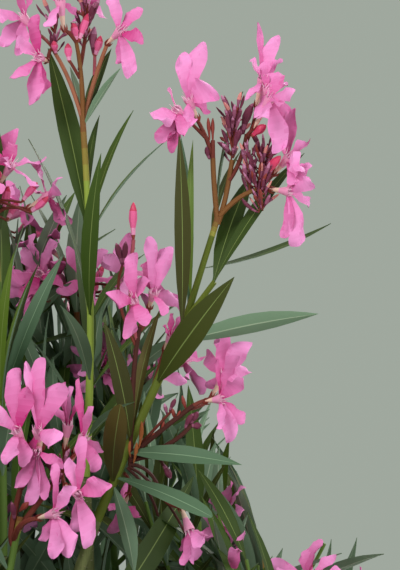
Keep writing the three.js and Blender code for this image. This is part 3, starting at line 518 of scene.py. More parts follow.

# Green shoots: each grows on from its bough or cane, carries long narrow leaves in threes, and most end
# in heads of blossom on red stalks. The four that face the viewer are set out leaf by leaf and petal by
# petal, in millimetres. The rest grow by a seeded rule, the same as the solids.

# An axis is its root, its tip, two radii and whether its top is brown. set_out is how the first starts.
# A leaf is its axis, the height of its root, its tip, its width, the share of the width that faces the
# viewer, below zero for the underside, and its tint. blunt and sagging are the numbers of such leaves.
# A flower is its centre, its calyx and its petals: tip, width, share of the width that shows, and tone. A
# petal's tone is partly its own rose and partly painted shade, deeper on petals that lie in shadow.
# A stalk is three points on it, two radii and a finish. A bud is its foot, tip, width and kind.
# Withered bloom is the foot and top of its line, how far it spreads, and half its number of buds.
SHOWN_SHOOTS = [
    {
        "name": "shoot_upright",
        "on": "bough_middle",
        "set_out": [0.075, -0.01, 1],
        "axes": [[[3, 2, 640], [1.5, 0, 866], 3, 1.9, True]],
        "leaves": [
            [0, 664, -28, -34, 727, 9, -0.25, 1], [0, 667, 36, -58, 690, 9, -0.5, 1],
            [0, 660, 48, 70, 708, 13, 0.6, 0], [0, 702, -7, 52, 791, 12, 0.75, 0],
            [0, 704, -7, -84, 748, 12, -0.8, 1], [0, 698, 66, 22, 752, 11, 0.3, 1],
            [0, 745, 15.5, -58, 839, 12, 0.9, 1], [0, 743, -33, 12, 852, 9, 0.15, 1],
            [0, 741, 38, 70, 780, 11, 0.5, 1], [0, 797, -22, 28, 911, 14.5, 0.95, 0],
            [0, 795, 34, -30, 867, 10, 0.5, 1], [0, 794, 52, 42, 852, 10, 0.12, 3],
            [0, 813, 11, 26, 868, 8, 0.7, 1], [0, 862, -7, 14, 898, 6, -0.9, 1],
            [0, 864, 25.5, -14, 894, 6, -0.7, 3], [0, 866, 19, 22, 910, 9, 0.8, 0],
        ],
        "flowers": [
            [[-25.2, -14, 901.1], [-20.5, -2, 899.8], [
                [-28, -14, 872, 10.6, 0.97, 1], [-39, -8, 913, 8.8, 0.9, 0], [-40, -21, 887, 7.5, 0.9, 1],
                [-21, -8, 880, 7.5, 0.8, 2], [-29, -15, 926, 8.1, 0.9, 2],
            ]],
            [[-36.7, 6, 928.8], [-26.7, 6, 917.5], [
                [-50, 11, 910, 10.6, 0.95, 0], [-55, -2, 929, 9.4, 0.9, 0], [-40, 14, 954, 8.1, 0.8, 1],
                [-28, -8, 943, 6.9, 0.6, 1], [-36, 2, 905, 9.4, 0.95, 0],
            ]],
            [[26, -10, 918.2], [17, -2, 910.4], [
                [32, -10, 889, 9.4, 0.97, 0], [40, -20, 911, 9.4, 0.95, 2], [20, -7, 941, 8.8, 0.9, 0],
                [26, -6, 898, 8.1, 0.9, 1], [36, -1, 933, 8.1, 0.9, 1],
            ]],
            [[4.6, 8, 936.6], [3.3, 8, 919], [
                [4, 16, 962, 8.1, 0.9, 0], [19, -5, 949, 7.5, 0.8, 1], [-8, -6, 946, 7.5, 0.8, 1],
                [-6, 24, 927, 6.2, 0.6, 0], [14, 25, 931, 6.9, 0.7, 0],
            ]],
            [[-11.5, -16, 936.1], [-9.3, -12, 918], [
                [-16, -7, 960, 7.5, 0.9, 0], [0, -30, 948, 6.9, 0.7, 0], [-26, 0, 946, 7.5, 0.8, 1],
                [-18, -30, 918, 6.9, 0.8, 0], [-2, 1, 929, 6.2, 0.7, 1],
            ]],
        ],
        "stalks": [
            [[2, 0, 862], [-6, 0, 886], [-15, -1, 904], 1.5, 1.2, 6],
            [[-15, -1, 904], [-18, -2, 907], [-20, -2, 900], 1.2, 1.1, 3],
            [[-15, -1, 904], [-19, 4, 911], [-27, 6, 918], 1.2, 1.1, 3],
            [[2, 0, 862], [1, -3, 889], [-2, -6, 911], 1.7, 1.2, 5],
            [[-2, -6, 911], [-6, -10, 916], [-9, -12, 918], 1.2, 1.1, 3],
            [[0, -4, 894], [2, 2, 907], [3, 8, 919], 1.4, 1.1, 3],
            [[2, 0, 862], [9, 1, 888], [17, -2, 910], 1.6, 1.2, 6],
            [[0, -3, 889], [-4, -8, 896], [-6, -9, 899], 1.1, 0.9, 3],
            [[9, 1, 891], [9, 4, 898], [9, 5, 904], 1.2, 1, 4],
        ],
        "buds": [
            [[-6, -9, 898], [-7, -10, 910], 5, "bud"], [[9, 5, 903], [9, 4, 922], 5, "faded"],
            [[9, 5, 903], [13, 2, 916], 5, "bud"], [[-15, -1, 904], [-16, -6, 912], 4.4, "bud"],
            [[-2, -6, 911], [-4, -8, 923], 5, "bud"], [[-1, -6, 911], [5, -4, 929], 5, "bud"],
        ],
        "withered": [[[3, 4, 911], [5, 0, 936], 6, 12], [[-15, -1, 904], [-16, -6, 929], 5, 8]],
    },
    {
        "name": "shoot_leaning",
        "on": "bough_leaning",
        "axes": [
            [[11, -16, 614], [66, -8, 738], 3.1, 2.7, False],
            [[66, -8, 738], [86, -5, 802], 2.5, 1.9, True],
            [[66, -8, 738], [84, -16, 762], 2.3, 1.7, False],
        ],
        "leaves": [
            [0, 640, 28, -88, 690, 14.5, 0.97, 6], [0, 643, 82, -60, 621, 12, 0.75, 4],
            [0, 639, 36, -66, 588, 12, -0.9, 4], [0, 665, 17, -54, 738, 13, 0.85, 5],
            [0, 659, 100, -46, 651, 13, 0.8, 4], [0, 668, 50, 10, 746, 8.5, 0.75, 6],
            [0, 701, 95, -70, 765, 18, 0.97, 2], [0, 725, 147, -38, 742, 13.5, -0.9, 4],
            [0, 733, 61.5, -28, 853, 10.5, 0.97, 5], [1, 742, 62, 42, 857, 6, 0.85, 4],
            [1, 750, 71, 6, 851, 5.8, 0.95, 3], [1, 772, 158, 20, 799, 10, 0.3, 1],
            [2, 761, 109, 38, 832, 14, 0.9, 0], [2, 761, 141, 26, 844, 11, 0.7, 0],
            [1, 790, 101, 32, 846, 8, 0.5, 2], [1, 800, 102, 14, 882, 7, 0.15, 1],
        ],
        "blunt": [0, 1],
        "sagging": [11],
        "flowers": [
            [[67.6, -14, 875.7], [73.4, -8, 863.1], [
                [63, -14, 903, 10, 0.95, 0], [76, -14, 910, 10.6, 0.97, 0], [84, -21, 881, 16.9, 0.97, 0],
                [79, -6, 871, 9.4, 0.9, 1], [69, -21, 857, 9.4, 0.9, 0],
            ]],
            [[60.2, -22, 868.2], [67.6, -10, 861.7], [
                [49, -32, 861, 13.1, 0.95, 0], [53, -20, 848, 10.6, 0.9, 1], [59, -22, 842, 8.1, 0.9, 2],
                [66, -29, 852, 9.4, 0.9, 1], [56, -6, 883, 3.1, 0.4, 1],
            ]],
            [[114.3, -2, 889.2], [110.1, 4, 872.2], [
                [111, -2, 924, 5, 0.75, 1], [120, -1, 914, 10.6, 0.95, 0], [124, 14, 902, 8.1, 0.8, 0],
                [107, 14, 902, 5.6, 0.7, 0], [105, -18, 875, 6.2, 0.8, 0],
            ]],
            [[118.9, -16, 876.1], [108.6, -8, 857.5], [
                [122, -1, 893, 12.5, 0.95, 1], [132, -32, 878, 9.4, 0.9, 0], [131, -1, 865, 10.6, 0.9, 1],
                [124, -16, 842, 12.5, 0.97, 0], [113, -32, 862, 7.5, 0.7, 0],
            ]],
            [[117.3, -8, 882.4], [110, -2, 867.9], [
                [128, 10, 889, 10, 0.9, 0], [125, -25, 871, 9.4, 0.9, 1], [114, -2, 899, 7.5, 0.8, 1],
                [110, -15, 863, 6.9, 0.8, 0], [122, 8, 869, 8.1, 0.8, 1],
            ]],
            [[130.3, -8, 839.5], [121.1, -4, 829.2], [
                [132, -8, 869, 8.1, 0.85, 1], [142, 8, 850, 6.9, 0.8, 0], [133, -22, 821, 7.5, 0.8, 1],
                [123, 9, 851, 5.6, 0.5, 1], [139, -25, 829, 6.2, 0.7, 0],
            ]],
            [[131.1, -18, 817.4], [118.4, -10, 819.5], [
                [133, -15, 842, 7.5, 0.9, 0], [141, -6, 836, 8.8, 0.85, 0], [143, -34, 824, 8.8, 0.9, 0],
                [143, -1, 811, 6.9, 0.8, 0], [136, -18, 784, 10.6, 0.97, 0], [128, -18, 789, 7.5, 0.9, 1],
            ]],
            [[34, -26, 750.8], [38.4, -12, 743.2], [
                [32, -26, 779, 8.8, 0.97, 1], [20, -34, 752, 10.6, 0.97, 1], [32, -30, 728, 8.8, 0.97, 1],
                [43, -36, 736, 10, 0.95, 1], [40, -17, 765, 8.1, 0.9, 1],
            ]],
            [[46.5, -14, 755.6], [43.3, -8, 745.7], [
                [43, -14, 790, 7.5, 0.9, 0], [55, -14, 784, 10.6, 0.95, 0], [64, 0, 749, 10.6, 0.9, 0],
                [55, -29, 742, 6.2, 0.8, 1], [39, 0, 773, 6.9, 0.8, 2],
            ]],
            [[57.6, -6, 728.9], [52.6, -4, 719.5], [
                [57, -11, 742, 5, 0.7, 2], [63, -1, 741, 5, 0.7, 1], [53, -17, 734, 4.4, 0.6, 2],
                [63, -18, 731, 5, 0.8, 3],
            ]],
            [[88.8, -30, 690.3], [78.1, -24, 688.7], [
                [95, -30, 717, 8.8, 0.9, 1], [85, -28, 714, 5, 0.6, 2], [100, -41, 704, 10, 0.95, 1],
                [95, -30, 665, 9.4, 0.97, 0], [88, -40, 673, 6.2, 0.8, 0], [102, -24, 676, 7.5, 0.85, 1],
            ]],
            [[90.6, -4, 704.5], [82.5, -2, 690.7], [
                [88, -3, 730, 11.2, 0.95, 1], [102, -9, 725, 12.5, 0.95, 0], [78, 11, 714, 10, 0.9, 1],
                [105, 12, 708, 10, 0.9, 0], [80, 8, 695, 7.5, 0.8, 1],
            ]],
            [[68.9, -30, 609.5], [63.3, -24, 623.6], [
                [76, -38, 601, 8.1, 0.9, 0], [72, -23, 590, 8.1, 0.85, 0], [66, -40, 591, 6.9, 0.8, 1],
                [79, -16, 606, 5, 0.5, 1], [63, -13, 596, 5, 0.6, 2],
            ]],
            [[25.1, 16, 619], [30.5, 4, 629], [
                [29, 23, 636, 6.2, 0.8, 1], [20, 22, 602, 8.1, 0.9, 1], [30, 25, 602, 8.8, 0.9, 2],
                [15, 2, 622, 6.2, 0.7, 1], [36, 26, 614, 6.9, 0.7, 2],
            ]],
        ],
        "stalks": [
            [[86, -5, 798], [84, -5, 820], [83, -6, 839], 1.7, 1.6, 5],
            [[83, -6, 839], [79, -7, 851], [73, -8, 863], 1.6, 1.2, 3],
            [[80, -7, 850], [74, -9, 856], [68, -10, 862], 1.2, 1, 3],
            [[83, -6, 839], [83, -7, 844], [83, -7, 850], 1.5, 1.3, 3],
            [[86, -5, 798], [91, -4, 815], [95, -3, 838], 1.7, 1.5, 5],
            [[93, -4, 825], [100, -2, 838], [104, -4, 854], 1.5, 1.2, 3],
            [[104, -4, 853], [106, -6, 855], [109, -8, 858], 1.2, 1.1, 3],
            [[102, -3, 845], [108, 2, 860], [110, 4, 872], 1.2, 1, 3],
            [[87, -5, 803], [99, -6, 814], [110, -8, 819], 1.7, 1.4, 5],
            [[110, -8, 819], [115, -9, 820], [118, -10, 820], 1.3, 1.2, 3],
            [[110, -8, 819], [116, -6, 824], [121, -4, 829], 1.3, 1.1, 3],
            [[32, -13, 648], [34, -14, 704], [38, -12, 734], 1.6, 1.4, 7],
            [[38, -12, 734], [39, -12, 739], [38, -12, 743], 1.4, 1.3, 3],
            [[38, -12, 732], [42, -10, 739], [43, -8, 746], 1.4, 1.3, 3],
            [[36, -13, 726], [32, -16, 751], [34, -18, 788], 1.2, 1.2, 4],
            [[35, -13, 723], [25, -12, 751], [27, -12, 772], 1.1, 0.9, 3],
            [[38, -12, 670], [47, -8, 701], [53, -4, 720], 1.3, 1, 3],
            [[34, -13, 656], [53, -20, 672], [71, -24, 686], 1.7, 1.5, 7],
            [[71, -24, 686], [75, -24, 688], [78, -24, 689], 1.3, 1.2, 3],
            [[69, -23, 684], [77, -12, 686], [82, -2, 691], 1.3, 1.1, 3],
            [[33, -13, 654], [54, -20, 661], [70, -22, 674], 1.5, 1.3, 7],
            [[34, -13, 657], [48, -15, 672], [58, -18, 683], 1.1, 0.8, 3],
            [[32, -14, 651], [47, -20, 654], [52, -22, 649], 1.3, 1.1, 7],
            [[30, -13, 647], [44, -12, 630], [51, -14, 608], 1.1, 0.8, 7],
            [[31, -13, 648], [50, -17, 632], [67, -19, 605], 1.1, 0.8, 7],
            [[32, -13, 649], [43, -18, 645], [50, -20, 634], 1.3, 1.1, 7],
            [[50, -20, 634], [55, -22, 626], [63, -24, 624], 1.2, 1.1, 3],
            [[28, -10, 643], [31, -2, 637], [30, 4, 629], 1.1, 1, 3],
        ],
        "buds": [
            [[81, -7, 850], [80, -8, 864], 2.5, "calyx"], [[83, -7, 849], [83, -6, 864], 2.5, "calyx"],
            [[81, -8, 838], [79, -9, 846], 3.1, "old"], [[102, -4, 854], [108, -6, 873], 5.6, "old"],
            [[107, -8, 852], [116, -12, 859], 5.6, "red"], [[115, -9, 827], [125, -12, 840], 5.6, "red"],
            [[34, -18, 788], [34, -18, 811], 5.3, "bud"], [[27, -12, 772], [23, -12, 786], 4.4, "old"],
            [[27, -12, 772], [29, -13, 787], 3.8, "old"], [[67, -20, 682], [64, -20, 692], 2.5, "calyx"],
            [[60, -18, 676], [58, -19, 684], 2.5, "calyx"], [[69, -22, 674], [74, -22, 682], 4.4, "old"],
            [[69, -22, 674], [76, -22, 674], 4.4, "old"], [[66, -21, 671], [71, -24, 681], 3.8, "old"],
            [[34, -17, 650], [36, -19, 663], 2.5, "husk"], [[37, -17, 659], [39, -20, 676], 2.8, "husk"],
            [[32, -17, 654], [32, -19, 664], 1.9, "husk"], [[44, -17, 664], [47, -19, 669], 1.9, "calyx"],
            [[51, -19, 669], [53, -21, 676], 1.9, "calyx"], [[60, -22, 677], [63, -24, 683], 1.9, "calyx"],
            [[56, -18, 682], [60, -18, 690], 3.1, "old"], [[55, -17, 679], [53, -18, 687], 2.5, "faded"],
            [[52, -22, 650], [57, -24, 641], 4.4, "old"], [[50, -14, 609], [53, -14, 599], 3.1, "old"],
            [[66, -19, 606], [71, -18, 599], 3.1, "old"],
        ],
        "withered": [
            [[95, -4, 839], [97, -6, 868], 6, 24], [[110, -8, 819], [116, -1, 844], 7, 26],
            [[111, -8, 820], [114, -12, 806], 6, 12], [[106, -6, 818], [106, -7, 844], 4, 9],
        ],
    },
    {
        "name": "shoot_low_front",
        "on": "bough_low_front",
        "axes": [[[-42, -66, 570], [-32, -66, 622], 3, 2.1, True]],
        "leaves": [
            [0, 590, -78, -104, 642, 13, -0.8, 1], [0, 592, 12, -112, 560, 14, 0.8, 1],
            [0, 594, -96, -44, 612, 13, 0.8, 0], [0, 612, -24, -20, 704, 13, 0.6, 1],
            [0, 614, 12, -20, 678, 11, 0.5, 1],
        ],
        "flowers": [
            [[-33.1, -84, 674.8], [-27.6, -72, 664.5], [
                [-35, -84, 711, 10, 0.97, 1], [-45, -92, 688, 8.8, 0.9, 0], [-37, -88, 656, 9.4, 0.95, 0],
                [-27, -81, 655, 9.4, 0.9, 1], [-27, -84, 700, 12.5, 0.95, 2],
            ]],
            [[-20.6, -82, 674.7], [-20, -70, 662], [
                [-20, -82, 717, 8.8, 0.97, 1], [-28, -82, 715, 5.6, 0.7, 0], [-9, -82, 702, 13.8, 0.97, 1],
                [-8, -99, 670, 11.9, 0.97, 0], [-26, -70, 655, 8.1, 0.8, 2],
            ]],
            [[-21.9, -76, 660.7], [-19.2, -64, 667.5], [
                [-33, -78, 640, 8.1, 0.9, 1], [-24, -76, 630, 8.8, 0.95, 0], [-16, -76, 634, 6.9, 0.8, 1],
                [-5, -85, 654, 7.5, 0.8, 1], [-29, -59, 649, 7.5, 0.8, 3],
            ]],
            [[-3.6, -66, 677.2], [-5.5, -64, 662.2], [
                [-8, -64, 701, 6.2, 0.7, 1], [-2, -70, 700, 5, 0.5, 0], [-13, -50, 688, 6.2, 0.7, 1],
                [3, -53, 693, 5.6, 0.5, 2],
            ]],
            [[4.7, -94, 637.5], [-4.1, -78, 641.4], [
                [5, -94, 671, 6.9, 0.9, 1], [21, -103, 646, 11.9, 0.95, 1], [12, -94, 609, 10.6, 0.97, 0],
                [2, -89, 615, 8.1, 0.9, 0], [-3, -90, 658, 8.1, 0.85, 0],
            ]],
            [[-8.8, -96, 627.2], [-20, -86, 623.3], [
                [-10, -96, 656, 5.6, 0.7, 1], [-9, -96, 601, 8.8, 0.95, 0], [1, -96, 604, 11.2, 0.97, 0],
                [1, -104, 644, 8.1, 0.85, 0], [-19, -83, 610, 7.5, 0.8, 1],
            ]],
            [[6.3, -74, 670], [0, -66, 660.5], [
                [2, -74, 704, 5.6, 0.75, 2], [10, -87, 689, 6.2, 0.8, 1], [14, -70, 650, 8.1, 0.9, 1],
                [16, -58, 661, 5.6, 0.7, 1], [4, -76, 647, 6.9, 0.85, 1],
            ]],
        ],
        "stalks": [
            [[-36, -66, 605], [-37, -66, 616], [-32, -68, 638], 2.1, 1.7, 3],
            [[-32, -68, 638], [-30, -70, 652], [-28, -72, 664], 1.4, 1.2, 3],
            [[-32, -68, 638], [-24, -66, 650], [-20, -68, 662], 1.4, 1.2, 3],
            [[-20, -68, 661], [-18, -66, 664], [-19, -64, 668], 1.2, 1.1, 3],
            [[-36, -66, 608], [-30, -80, 619], [-20, -86, 623], 1.9, 1.4, 3],
            [[-36, -66, 611], [-20, -66, 632], [-7, -66, 649], 1.9, 1.5, 3],
            [[-7, -66, 649], [-6, -72, 644], [-4, -78, 641], 1.3, 1.2, 3],
            [[-7, -66, 649], [-6, -64, 656], [-6, -64, 662], 1.3, 1.1, 3],
            [[-7, -66, 649], [-3, -66, 655], [0, -66, 660], 1.3, 1.1, 3],
        ],
        "buds": [
            [[-11, -74, 648], [-9, -80, 656], 4.4, "calyx"], [[-14, -76, 645], [-6, -80, 649], 3.8, "old"],
            [[-32, -74, 626], [-26, -80, 632], 3.8, "calyx"],
            [[-35, -74, 621], [-36, -80, 632], 3.8, "old"],
        ],
        "withered": [[[-9, -70, 643], [-7, -74, 655], 5, 6]],
    },
    {
        "name": "shoot_upright_left",
        "on": "bough_upright_left",
        "axes": [[[-49, 6, 590], [-54, 8, 800], 3, 2.1, True]],
        "leaves": [
            [0, 640, -118, 34, 706, 13, 0.7, 1], [0, 642, -32, -62, 700, 12, -0.7, 1],
            [0, 644, -30, 74, 708, 13, 0.8, 1], [0, 686, -40, -20, 780, 9, 0.8, 3],
            [0, 690, -28, 34, 774, 9, 0.6, 1], [0, 696, -35, -4, 797, 9, 0.2, 3],
            [0, 690, -11, 8, 779, 12, 0.85, 4], [0, 680, -29, -34, 762, 10, 0.25, 3],
            [0, 700, -98, -30, 780, 13, 0.7, 1], [0, 742, -112, 44, 806, 13, 0.6, 1],
            [0, 744, -86, -38, 820, 12, -0.6, 0], [0, 746, -58, 64, 822, 12, 0.8, 1],
            [0, 780, -84, -20, 862, 11, 0.5, 1], [0, 784, -58, 34, 872, 10, 0.8, 0],
        ],
        "heads": 2,
    },
]

# The others: name, limb, where it leaves the limb, tip, number of heads of blossom, and seed.
RULED_SHOOTS = [
    ("shoot_inner_back", "bough_inner_back", 1, [-8, 106, 742], 2, 51),
    ("shoot_front_left", "bough_front_left", 1, [-136, -98, 690], 1, 12),
    ("shoot_far_left", "bough_far_left", 1, [-148, 4, 750], 2, 41),
    ("shoot_rear_left", "bough_rear_left", 1, [-84, 120, 790], 2, 14),
    ("shoot_outer_left", "bough_outer_left", 1, [-142, 96, 680], 1, 71),
    ("shoot_rear", "bough_rear", 1, [26, 146, 690], 1, 16),
    ("shoot_rear_right", "bough_rear_right", 1, [116, 114, 580], 1, 17),
    ("shoot_right", "bough_right", 1, [134, -20, 556], 1, 18),
    ("shoot_inner_right", "bough_inner_right", 1, [74, 60, 606], 0, 19),
    ("shoot_low_front_a", "cane_front", 0.62, [2, -122, 490], 1, 21),
    ("shoot_low_right_a", "cane_right", 0.5, [122, -72, 430], 1, 61),
    ("shoot_low_rear_right", "cane_back", 0.48, [96, 104, 400], 0, 23),
    ("shoot_low_rear", "cane_back_left", 0.5, [-60, 140, 440], 1, 24),
    ("shoot_low_left", "cane_left", 0.45, [-130, 30, 410], 0, 25),
    ("shoot_low_corner", "cane_front_left", 0.42, [-100, -100, 410], 1, 26),
    ("shoot_low_front_b", "cane_right", 0.72, [72, -104, 510], 0, 27),
    ("shoot_side_front", "bough_low_front", 0.4, [-62, -126, 560], 1, 52),
    ("shoot_side_left", "bough_far_left", 0.5, [-152, -48, 600], 1, 32),
    ("shoot_side_corner", "bough_rear_left", 0.45, [-106, 140, 600], 1, 33),
    ("shoot_side_rear", "bough_rear", 0.45, [-18, 150, 590], 1, 34),
    ("shoot_side_right", "bough_right", 0.45, [138, 48, 530], 1, 35),
    ("shoot_side_leaning", "bough_leaning", 0.4, [58, -96, 566], 0, 72),
    ("shoot_low_right_b", "cane_right", 0.3, [128, 30, 390], 0, 62),
]

DEGREE = math.pi / 180
STALK_RADIUS = 0.95
STALK_TAPER = 0.8
PEDUNCLE_RADIUS = 1.7
JOINT_SHARE = 0.5
BUD_STALK = 0.9
BUD_RISE = 0.35
BUD_LENGTH = 16
BUD_WIDTH = 4.8
BUD_ORDER = ["bud", "old", "bud", "calyx"]
BRICK = 3
SEED_STRIDE = 7919
DICE_FACTOR = 1664525
DICE_STEP = 1013904223
DICE_RANGE = 2**32


class Dice:
    """Repeatable numbers between a least and a most, the same that the solids were grown with."""

    def __init__(self, seed):
        self.state = seed * SEED_STRIDE

    def between(self, low, high):
        self.state = (self.state * DICE_FACTOR + DICE_STEP) % DICE_RANGE
        return low + (high - low) * self.state / DICE_RANGE


class Shoot:
    """The stems, stalks, leaves, flowers and buds that grow on from one limb."""

    def __init__(self, name):
        self.name = name
        self.stems = []
        self.stalks = []
        self.leaves = []
        self.flowers = []
        self.buds = []

    def add_head(self, fork, rising, flowers, bud_tips):
        """A stalk from its fork to a joint, and from there a thinner one to each flower and bud."""
        ends = [flower["centre"] for flower in flowers] + bud_tips
        if not ends:
            return
        joint = blend(fork, sum(ends, Vector()) / len(ends), JOINT_SHARE)
        self.stalks.append((Bow(fork, joint, rising), PEDUNCLE_RADIUS, PEDUNCLE_RADIUS * STALK_TAPER, BRICK))
        onward = (joint - fork).normalized()
        for flower in flowers:
            self.stalks.append((Bow(joint, flower["calyx"], onward), STALK_RADIUS, STALK_RADIUS, BRICK))
            self.flowers.append(flower)
        for number, tip in enumerate(bud_tips):
            direction = blend((tip - joint).normalized(), rising, BUD_RISE).normalized()
            foot = tip - direction * BUD_LENGTH
            kind = BUD_ORDER[(number + len(self.buds)) % len(BUD_ORDER)]
            radii = (STALK_RADIUS * BUD_STALK, STALK_RADIUS * STALK_TAPER)
            self.stalks.append((Bow(joint, foot, onward), *radii, BRICK))
            self.buds.append({"foot": foot, "tip": tip, "width": BUD_WIDTH, "kind": kind})


def arc(root, via, tip):
    """A line that passes a point on its way."""
    line = Bow(root, tip, UP)
    line.bend = via * 2 - (root + tip) / 2
    return line


def shown_normal(root, tip, show):
    """The blade's normal for a leaf that shows this share of its width to the viewer."""
    direction = (tip - root).normalized()
    level = direction.cross(TO_VIEWER).normalized()
    facing = level.cross(direction).normalized()
    if facing.dot(TO_VIEWER) < 0:
        facing.negate()
    edge = math.sqrt(1 - show * show)
    return (level * (-edge if level.z < 0 else edge) + facing * show).normalized()


STEM_TURN = 0.7
LEAF_SHARES = (0.03, 0.97)
WITHERED_ORDER = ["old", "faded", "old", "calyx", "old", "faded", "old", "salmon"]
WITHERED_LENGTHS = (8, 15)
WITHERED_WIDTHS = (1.4, 3)
WITHERED_LEAN = 0.7
THREAD_RADIUS = 0.45
THREAD_DROP = 0.12


def grow_shown(plan):
    """A shoot as its plan sets it out, with the threads and buds of its withered bloom by rule."""
    shoot = Shoot(plan["name"])
    parent = limbs[plan["on"]][0]
    axes = []
    for i, (root, tip, root_radius, tip_radius, brown_top) in enumerate(plan["axes"]):
        start = Vector(root) if i else leave(plan["on"], 1)[0]
        end = Vector(tip)
        chord = (end - start).normalized()
        set_out = Vector(plan.get("set_out", blend(parent.tangent(1), chord, STEM_TURN)))
        line = Bow(start, end, chord if i else set_out.normalized())
        shoot.stems.append((line, root_radius if i else STEM_ROOT_RADIUS, tip_radius, brown_top))
        axes.append((line, start.z, end.z))
    for number, (axis, height, x, y, z, width, show, tint) in enumerate(plan["leaves"]):
        line, foot, top = axes[axis]
        lowest, highest = LEAF_SHARES
        root = line.point(min(max((height - foot) / (top - foot), lowest), highest))
        tip = Vector((x, y, z))
        normal = shown_normal(root, tip, show)
        leaf = {"root": root, "tip": tip, "width": width, "normal": normal, "tint": tint}
        leaf["blunt"] = number in plan.get("blunt", [])
        leaf["sagging"] = number in plan.get("sagging", [])
        shoot.leaves.append(leaf)
    for middle, calyx, petal_rows in plan.get("flowers", []):
        centre = Vector(middle)
        petals = []
        for x, y, z, width, show, tone in petal_rows:
            tip = Vector((x, y, z))
            normal = shown_normal(centre, tip, show)
            petals.append({"tip": tip, "width": width, "normal": normal, "tone": tone})
        shoot.flowers.append({"centre": centre, "calyx": Vector(calyx), "petals": petals})
    for root, via, tip, root_radius, tip_radius, kind in plan.get("stalks", []):
        line = arc(Vector(root), Vector(via), Vector(tip))
        shoot.stalks.append((line, root_radius, tip_radius, kind))
    for foot, tip, width, kind in plan.get("buds", []):
        shoot.buds.append({"foot": Vector(foot), "tip": Vector(tip), "width": width, "kind": kind})
    dice = Dice(len(plan["leaves"]))
    for foot, top, spread, half_count in plan.get("withered", []):
        foot, top = Vector(foot), Vector(top)
        spine = Bow(foot, top, (top - foot).normalized())
        shoot.stalks.append((spine, STALK_RADIUS, THREAD_RADIUS, BRICK))
        for k in range(2 * half_count):
            share = 0.5 * k / half_count
            off = Vector([dice.between(-1, 1) for _ in range(3)])
            start = blend(foot, top, share) + off * (0.5 * spread)
            fork = spine.point(max(share - THREAD_DROP, 0))
            shoot.stalks.append((Bow(fork, start, UP), THREAD_RADIUS, THREAD_RADIUS, BRICK))
            leaning = (UP + off * WITHERED_LEAN).normalized()
            end = start + leaning * dice.between(*WITHERED_LENGTHS)
            width = dice.between(*WITHERED_WIDTHS)
            kind = WITHERED_ORDER[k % len(WITHERED_ORDER)]
            shoot.buds.append({"foot": start, "tip": end, "width": width, "kind": kind})
    for k in range(plan.get("heads", 0)):
        add_head(shoot, axes[0][0], k, dice, dice)
    return shoot


# The crown is a round column. What grows by rule leaves the air open at its upper right and, from
# FRONT_LEFT to the right, in front of the shown shoots.
CROWN_MIDDLE = -10
CROWN_FOOT = 268
CROWN_RADIUS = 222
OPEN_AIR_FOOT = 590
OPEN_AIR_LEFT = 125
OPEN_AIR_SLOPE = 0.45
FRONT_FOOT = -10
FRONT_LEFT = -62
FRONT_LIMIT = -42
LIMB_GAP = 1
limb_array = np.array(limb_places)


def is_in_crown(places):
    """Whether a leaf or flower stays in the crown and out of the open air."""
    for at, _ in places:
        high = at.z - OPEN_AIR_FOOT
        in_open_air = high > 0 and at.x > OPEN_AIR_LEFT - OPEN_AIR_SLOPE * high
        in_front = high > FRONT_FOOT and at.x > FRONT_LEFT and at.y < FRONT_LIMIT
        too_far = math.hypot(at.x - CROWN_MIDDLE, at.y) > CROWN_RADIUS
        if too_far or at.z < CROWN_FOOT or in_open_air or in_front:
            return False
    return True


def is_clear_of_limbs(places):
    """Whether the room at each place is free of canes and boughs."""
    spots = np.array([[*at, radius] for at, radius in places])
    gaps = np.linalg.norm(limb_array[:, None, :3] - spots[None, :, :3], axis=2)
    return bool((gaps > limb_array[:, None, 3] + spots[None, :, 3] + LIMB_GAP).all())


LEAF_WIDEST = 0.46
LEAF_SAG = 0.05
TAKEN_STEPS = 12
TAKEN_SHARE = 0.44
TAKEN_EDGE = 0.6


def places_on_leaf(leaf):
    """Points along a leaf, each with the room that the leaf takes there."""
    length = (leaf["tip"] - leaf["root"]).length
    places = []
    for step in range(1, TAKEN_STEPS + 1):
        share = step / TAKEN_STEPS
        arch = share / LEAF_WIDEST if share < LEAF_WIDEST else (1 - share) / (1 - LEAF_WIDEST)
        at = blend(leaf["root"], leaf["tip"], share) + leaf["normal"] * (arch * LEAF_SAG * length)
        places.append((at, TAKEN_SHARE * leaf["width"] * arch + TAKEN_EDGE))
    return places


PETALS = 5
PETAL_TURN = 12
PETAL_RISES = (-0.15, 0.42)
PETAL_REACHES = (0.92, 1.1)
PETAL_ROLLS = (0.15, 0.6)
PETAL_WIDTHS = (8, 11)
PETAL_TONE_SPAN = 2.4
FLOWER_RADIUS = 24
FLOWER_DEPTH = 17
FLOWER_HEART = 9
# How far out on a petal, and the room that it takes there.
TAKEN_ON_PETAL = [(0.45, 6.2), (0.8, 4.8)]


def petal_directions(flower):
    """Two directions across a flower, turned by its spin."""
    level, upright = across(flower["facing"], flower["facing"])
    side = between(level, upright, flower["spin"] * DEGREE)
    return side, -side.cross(flower["facing"])


def with_petals(flower, dice):
    """A flower that faces a given way, with its calyx and five petals, each a little its own."""
    side, other = petal_directions(flower)
    centre, facing, size = flower["centre"], flower["facing"], flower["size"]
    petals = []
    for k in range(PETALS):
        turn = 360 / PETALS * k + dice.between(-PETAL_TURN, PETAL_TURN)
        outward = between(other, side, turn * DEGREE)
        spread = blend(outward, facing, dice.between(*PETAL_RISES)).normalized()
        tip = centre + spread * (FLOWER_RADIUS * size * dice.between(*PETAL_REACHES))
        normal = blend(facing, facing.cross(outward), dice.between(*PETAL_ROLLS))
        width = size * dice.between(*PETAL_WIDTHS)
        tone = int(dice.between(0, PETAL_TONE_SPAN))
        petals.append({"tip": tip, "width": width, "normal": normal, "tone": tone})
    return {"centre": centre, "calyx": centre - facing * (FLOWER_DEPTH * size), "petals": petals}


